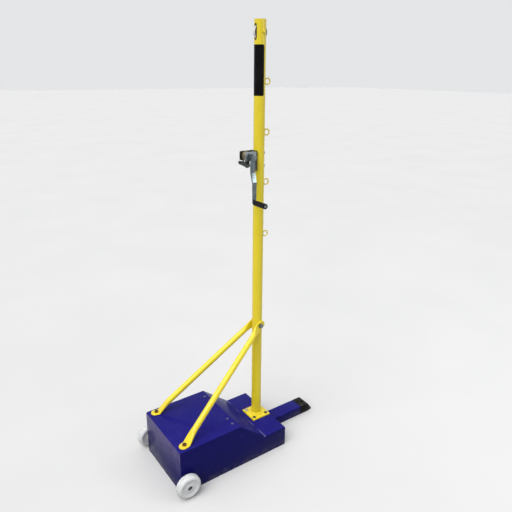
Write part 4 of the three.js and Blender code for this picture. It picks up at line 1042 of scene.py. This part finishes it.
def outrigger_cap():
    half, high, rear, top_end, side_end = OUT_HALF, OUT_HIGH, OUT_END + GAP, 255, 249
    toe, toe_half, toe_high, collar_high, collar_long = 280, 24, 6, 0.4, 3.2
    side_loop = rounded([
        (rear, 0, 0), (toe, 0, 2.5), (toe, toe_high, 3), (top_end, high, 4), (rear, high, 0)])
    plan = rounded([
        (-half, rear - 1, 0), (half, rear - 1, 0), (half, side_end, 3), (toe_half, toe + 1, 0),
        (-toe_half, toe + 1, 0), (-half, side_end, 3),
    ], 6)
    made = combine(
        "INTERSECT",
        prism(side_loop, "x", -half, half),
        prism(outrigger_loop(0), "y", rear - 1, toe + 1),
        prism(plan, "z", -1, high + 1))
    made = soften(made, 1.6, 3, 30)
    wide = half + collar_high
    collar = rectangle(-wide, 0, wide, high + collar_high, OUT_CORNER + collar_high)
    collar = soften(prism(collar, "y", rear, rear + collar_long), 0.5, 2)
    plug = prism(outrigger_loop(OUT_WALL + GAP, 6), "y", 190, rear + 1)
    wear(merge(made, collar, plug), CAP, "outrigger_cap")


ballast_box()
stop_screws()
wheels()
axle_parts()
outrigger()
outrigger_cap()

# ------------------------------------------------------------------ braces

FOOT_X, FOOT_Y, HEAD_Z = 112, -384, 490
BRACE_R, FLAT_W, FLAT_T, TIP = 11, 33, 4.4, 20
# How far from each bolt the flat reaches, how long the press takes, and the bends
FLAT_L, CREASE_L, JOIN_L = 8, 4, 46
HEAD_PRESS, HEAD_BEND = 46, 20
FOOT_PRESS, FOOT_BEND = 66, 36
FLAT_END = TIP + FLAT_L
FOOT_NUT, FOOT_THROUGH, HEAD_THROUGH = 165.2, 8.5, 10.5
BRACE_STEPS = 40


def smoothstep(x, low, high):
    t = min(max((x - low) / (high - low), 0), 1)
    return t * t * (3 - 2 * t)


def bezier(a, b, c, t):
    return a * (1 - t) ** 2 + b * (2 * t * (1 - t)) + c * t ** 2


def brace_end(bolt_place, flat, along, bend):
    """The corners of the path at one end, each with the reach of its bend."""
    return [
        (bolt_place - flat * TIP, 0),
        (bolt_place + flat * (FLAT_L + CREASE_L / 2), CREASE_L / 2),
        (bolt_place + along * JOIN_L, bend / 2),
    ]


def brace_path(side):
    """Points along the middle of a brace, from the tip of its foot to the tip of its head."""
    sheet = FLAT_T / 2
    foot = Vector((side * FOOT_X, FOOT_Y, BOX_TOP + GAP + sheet))
    head = Vector((side * (POST_SEAT + sheet), 0, HEAD_Z))
    along = (head - foot).normalized()
    level = Vector((along.x, along.y, 0)).normalized()
    upright = Vector((0, along.y, along.z)).normalized()
    marks = brace_end(foot, level, along, FOOT_BEND)
    marks += reversed(brace_end(head, -upright, -along, HEAD_BEND))
    points = []
    last = marks[0][0]
    for (before, _), (corner, reach), (after, _) in zip(marks, marks[1:], marks[2:]):
        start = corner + (before - corner).normalized() * reach
        end = corner + (after - corner).normalized() * reach
        points += [last.lerp(start, i / 24) for i in range(24)]
        points += [bezier(start, corner, end, i / 12) for i in range(12)]
        last = end
    return points + [last.lerp(marks[-1][0], i / 24) for i in range(25)]


def resample(points, distances):
    """The path's places and directions at distances along it, and its length."""
    lengths = [0.0]
    for a, b in zip(points, points[1:]):
        lengths.append(lengths[-1] + (b - a).length)
    out = []
    k = 0
    for d in distances:
        while k < len(points) - 2 and lengths[k + 1] < d:
            k += 1
        t = (d - lengths[k]) / max(lengths[k + 1] - lengths[k], 1e-9)
        tangent = (points[k + 1] - points[k]).normalized()
        out.append((points[k].lerp(points[k + 1], min(max(t, 0), 1)), tangent))
    return out, lengths[-1]


def brace_section(turn, from_end, press):
    """A point of the section: flat with a round tip at the end, then pressed less and less."""
    tip = FLAT_W / 2
    inside = max(tip - from_end, 0)
    width = math.sqrt(max(tip * tip - inside * inside, 0))
    edge = min(FLAT_T / 2, width)
    pressed = smoothstep(from_end, FLAT_END, FLAT_END + press)
    share = 1 - pressed
    across, up = math.cos(turn), math.sin(turn)
    sign = (across > 1e-6) - (across < -1e-6)
    flat = (sign * (width - edge) + across * edge, up * edge)
    crease = 1 - 0.10 * math.sin(math.pi * pressed) * up * up
    u, v = (c * BRACE_R + (f - c * BRACE_R) * share for c, f in zip((across, up), flat))
    return u, v * crease


def brace_stations(total):
    """Distances along a brace, closest together at its tips and where it is pressed."""
    tip = FLAT_W / 2
    ends = [0.04] + [tip * (1 - math.cos(math.pi / 2 * i / 12)) for i in range(1, 13)]
    ends += [tip + (FLAT_END - tip) * i / 5 for i in range(1, 6)]
    foot = ends + [FLAT_END + FOOT_PRESS * i / 24 for i in range(1, 25)]
    head = ends + [FLAT_END + HEAD_PRESS * i / 18 for i in range(1, 19)]
    between = total - foot[-1] - head[-1]
    middle = [foot[-1] + between * i / 24 for i in range(1, 24)]
    return foot + middle + [total - d for d in reversed(head)]


def brace(side, name):
    points = brace_path(side)
    total = resample(points, [])[1]
    distances = brace_stations(total)
    rows = []
    for (centre, along), distance in zip(resample(points, distances)[0], distances):
        share = smoothstep(distance / total, 0, 1)
        normal = Vector((0, 0, 1)).lerp(Vector((side, 0, 0)), share)
        normal = (normal - along * normal.dot(along)).normalized()
        across = along.cross(normal)
        from_end, press = min((distance, FOOT_PRESS), (total - distance, HEAD_PRESS))
        row = []
        for k in range(BRACE_STEPS):
            u, v = brace_section(TAU * (k + 0.5) / BRACE_STEPS, from_end, press)
            row.append(centre + across * u + normal * v)
        rows.append(row)
    wear(finish_mesh(skin(rows), within=0.0005), YELLOW, f"brace_{name}", 40)


def brace_foot_bolt(side, name):
    seat = BOX_TOP + GAP + FLAT_T + GAP
    grip = seat - (BOX_TOP - SHEET - GAP) + FOOT_THROUGH
    place = (side * FOOT_X, FOOT_Y, 0)
    fasten(f"brace_foot_{{}}_{name}", "z", M8, (seat, FOOT_NUT), place, grip, (RUSTED, DARK_BOLT))


def brace_head_bolt():
    seat = POST_SEAT + FLAT_T + GAP
    grip = 2 * seat + HEAD_THROUGH
    fasten("brace_head_{}", "x", M10, (seat, -seat), (0, 0, HEAD_Z), grip, (ZINC, DARK_BOLT))


for side, name in SIDES:
    brace(side, name)
    brace_foot_bolt(side, name)
brace_head_bolt()

# ------------------------------------------------------------------- winch

WINCH_Y, WINCH_Z = -47, 1129
WINCH = (0, WINCH_Y, WINCH_Z)
BORE, PIN_BORE, GRIP_BORE = 5.3, 3.3, 4.3
WEB_FACE, PIN_Y, PIN_Z = POST_SEAT + 4, WINCH_Y + 10, WINCH_Z - 35
RATCHET_ENDS, NOSE_TURN, NOSE_RADIUS = (-14.7, -9.7), 237.5, 14.8
ARM_LENGTH = 152.5
HANDLE = (0, WINCH_Y, WINCH_Z - ARM_LENGTH)


def winch_bracket():
    wide, inner, rear, low, high = 18, 15, -67, WINCH_Z - 15.5, WINCH_Z + 15.5
    web = rectangle(-wide, WINCH_Z - 49, wide, WINCH_Z + 17, 3)
    cheek = rounded([(-POST_SEAT, low, 0), (-POST_SEAT, high, 0), (rear, high, 5), (rear, low, 5)])
    lug = link(9, 9, 0, 28.5)
    made = combine(
        "UNION",
        prism(web, "y", -WEB_FACE, -POST_SEAT),
        prism(cheek, "x", inner, wide),
        prism(cheek, "x", -wide, -inner),
        prism(lug, "x", -wide, -inner, (PIN_Y, PIN_Z)))
    made = cut(made, rod("x", BORE, -30, 30, WINCH))
    wear(soften(made, 0.6), BRACKET, "winch_bracket")


def winch_drum():
    f, c, s = 15, 11, 5  # flanges, core, shaft
    profile = [
        (0, -22), (s - 0.7, -22), (s, -21.3), (s, -9.4), (f - 0.5, -9.4), (f, -8.9), (f, -7.9),
        (f - 0.5, -7.4), (c + 0.8, -7.4), (c, -6.6), (c, 11.9), (c + 0.8, 12.7),
        (f - 0.5, 12.7), (f, 13.2), (f, 14.2), (f - 0.5, 14.7), (s, 14.7), (s, 44.6),
        (s - 0.6, 45.1), (0, 45.1),
    ]
    made = lathe(profile, "x", WINCH)
    hole = rod("y", 2.5, -30, 30, (DRUM_MIDDLE / MM, WINCH_Y, WINCH_Z), 24)
    wear(cut(made, hole), BRONZE, "winch_drum")


def winch_ratchet():
    teeth, root, tip = 12, 12.5, 15.5
    start = NOSE_TURN - math.degrees(2 / NOSE_RADIUS)
    loop = []
    for i in range(teeth):
        for k in range(4):
            turn = math.radians(start + 360 / teeth * (i + k / 3))
            r = root + (tip - root) * k / 3
            loop.append((WINCH_Y + r * math.cos(turn), WINCH_Z + r * math.sin(turn)))
    made = prism(loop, "x", *RATCHET_ENDS)
    made = cut(made, rod("x", BORE, -30, 0, WINCH))
    wear(soften(made, 0.3, 2), STEEL, "winch_ratchet")


def winch_pawl():
    y, z, turn, tail = PIN_Y, PIN_Z, math.radians(NOSE_TURN), (-32, 13)
    root = [0.62 * a for a in tail]
    nose_y = NOSE_RADIUS * math.cos(turn) + WINCH_Y - y - root[0]
    nose_z = NOSE_RADIUS * math.sin(turn) + WINCH_Z - z - root[1]
    bar = prism(link(7.5, 6, *tail), "x", *RATCHET_ENDS, (y, z))
    beak = link(4, 1, nose_y, nose_z)
    beak = prism(beak, "x", *RATCHET_ENDS, (y + root[0], z + root[1]))
    made = cut(combine("UNION", bar, beak), rod("x", PIN_BORE, -30, 0, (0, y, z), 32))
    wear(soften(made, 0.5), STEEL, "winch_pawl")
    pin = [
        (0, -21), (2.6, -21), (3, -20.6), (3, -9.4), (5, -9.4), (5, -8.2), (4.2, -7.6),
        (0, -7.4),
    ]
    turned("pawl_pin", ZINC, pin, (0, y, z), 40)


def crank():
    inner, outer, thick, half, bend = 29.3, 39.3, 5, 16, 9
    root_r, tip_r = 9.5, 6.5
    tip = -(ARM_LENGTH + tip_r + 5)
    band = rounded([
        (inner, half, 0), (inner, -54, bend), (outer, -86, bend), (outer, tip, 0),
        (outer + thick, tip, 0), (outer + thick, -83.5, bend), (inner + thick, -51.5, bend),
        (inner + thick, half, 0),
    ])
    bar = prism(band, "y", WINCH_Y - half, WINCH_Y + half, (0, WINCH_Z))
    form = link(root_r, tip_r, 0, -ARM_LENGTH, 24)
    made = combine("INTERSECT", bar, prism(form, "x", 20, 60, WINCH[1:]))
    made = combine("UNION", made, rod("x", 9, 18.3, 31, WINCH, 64))
    made = cut(made, rod("x", BORE, 10, 60, WINCH), rod("x", GRIP_BORE, 10, 60, HANDLE))
    wear(soften(made, 0.8, 3, 35), ARM, "crank_arm")
    nut("crank_nut", "x", M10, inner + thick + GAP, WINCH, ZINC)


def grip():
    start, end, bore, radius, bulge, steps = 44.6, 107.6, GRIP_BORE, 9.5, 0.35, 14
    profile = [(bore, start), (7.5, start), (8.6, start + 0.5), (9.2, start + 1.6)]
    for i in range(steps + 1):
        t = i / steps
        r = radius - bulge * (2 * t - 1) ** 2
        profile.append((r, start + 3 + (end - start - 6) * t))
    profile += [
        (9.2, end - 1.6), (8.6, end - 0.5), (7.6, end), (6.6, end), (6.3, end - 0.3),
        (6.3, end - 4.3), (bore, end - 4.3),
    ]
    turned("crank_grip", GRIP, profile, HANDLE, 96, 40)
    head = end - 4
    pin = [
        (0, 37.8), (4, 37.8), (4, head), (5.6, head), (6, head + 0.4), (6, head + 2.0),
        (5.2, head + 2.8), (2.2, head + 3), (2.2, head + 1.2), (0, head + 1.2),
    ]
    turned("grip_pin", ZINC, pin, HANDLE)


def winch_bolts():
    seat = WEB_FACE + GAP
    for number, z in enumerate((WINCH_Z + 6, WINCH_Z - 37), 1):
        fasten(f"winch_{{}}_{number}", "y", M8, (POST_SEAT, -seat), (0, 0, z),
               POST_SEAT + seat + 8.5, (ZINC, ZINC), domed=True)


winch_bracket()
winch_drum()
winch_ratchet()
winch_pawl()
crank()
grip()
winch_bolts()

# Inner pieces keep their CAD solids and get a finish
for node in ("box_floor", "ballast_stop", *(f"ballast_slab_{n}" for n in range(1, 5))):
    NODES[node].data.materials.clear()
    NODES[node].data.materials.append(IRON if "slab" in node else BLUE)

# ------------------------------------------------------------------- stage

FLOOR_HALF, FLOOR_Z = 40.0, -0.0002
SKY, SKY_SEEN, SKY_LOW, SKY_HIGH = (0.97, 0.985, 1.0), 0.80, 0.26, 1.0
KEY = {"power": 2.6, "color": (1.0, 0.985, 0.96), "place": (0.26, -0.74, 0.95)}
SIDE = {"power": 15, "color": SKY, "place": (2.5, 1.8, 2.0), "aim": (0, 0, 1.05)}


def stage():
    mesh = bpy.data.meshes.new("floor")
    signs = ((-1, -1), (1, -1), (1, 1), (-1, 1))
    corners = [(x * FLOOR_HALF, y * FLOOR_HALF, FLOOR_Z) for x, y in signs]
    mesh.from_pydata(corners, [], [range(4)])
    m = Recipe("floor_matt", Specular_IOR_Level=0.0)
    pale = m.blend((0.3, 0.7, 1.3, 4), (0.605, 0.605, 0.61), (0.625, 0.625, 0.625))
    m.tone = m.blend(m.seen(), (0.22, 0.22, 0.23), pale)
    mesh.materials.append(m.finish(0.95, (m.noise(260, 3), 0.0002)))
    floor = add_object("floor", mesh)


def lamp(name, kind, power, color, place, aim=(0, 0, 0), **shape):
    data = bpy.data.lights.new(name, kind)
    data.energy, data.color = power, color
    for key, value in shape.items():
        setattr(data, key, value)
    made = add_object(name, data)
    made.location = place
    made.rotation_euler = (Vector(aim) - Vector(place)).to_track_quat("-Z", "Y").to_euler()


def sky():
    """A sky that looks even, and whose light is weaker towards the floor."""
    world = bpy.data.worlds.new("world")
    world.use_nodes = True
    g = Graph(world.node_tree)
    up = g.axis("Z", g.add("TexCoord").outputs["Generated"])
    light = g.fill("MapRange", (0, 3, 4), (up, SKY_LOW, SKY_HIGH)).outputs[0]
    level = g.fill("Mix", (0, 2, 3), (g.seen(), light, SKY_SEEN)).outputs[0]
    back = world.node_tree.nodes["Background"]
    g.put(back.inputs["Color"], SKY)
    g.put(back.inputs["Strength"], level)
    scene.world = world


stage()
sky()
lamp("key", "SUN", **KEY, angle=math.radians(50))
lamp("side", "AREA", **SIDE, shape="SQUARE", size=0.75)
scene.view_settings.view_transform = "Standard"
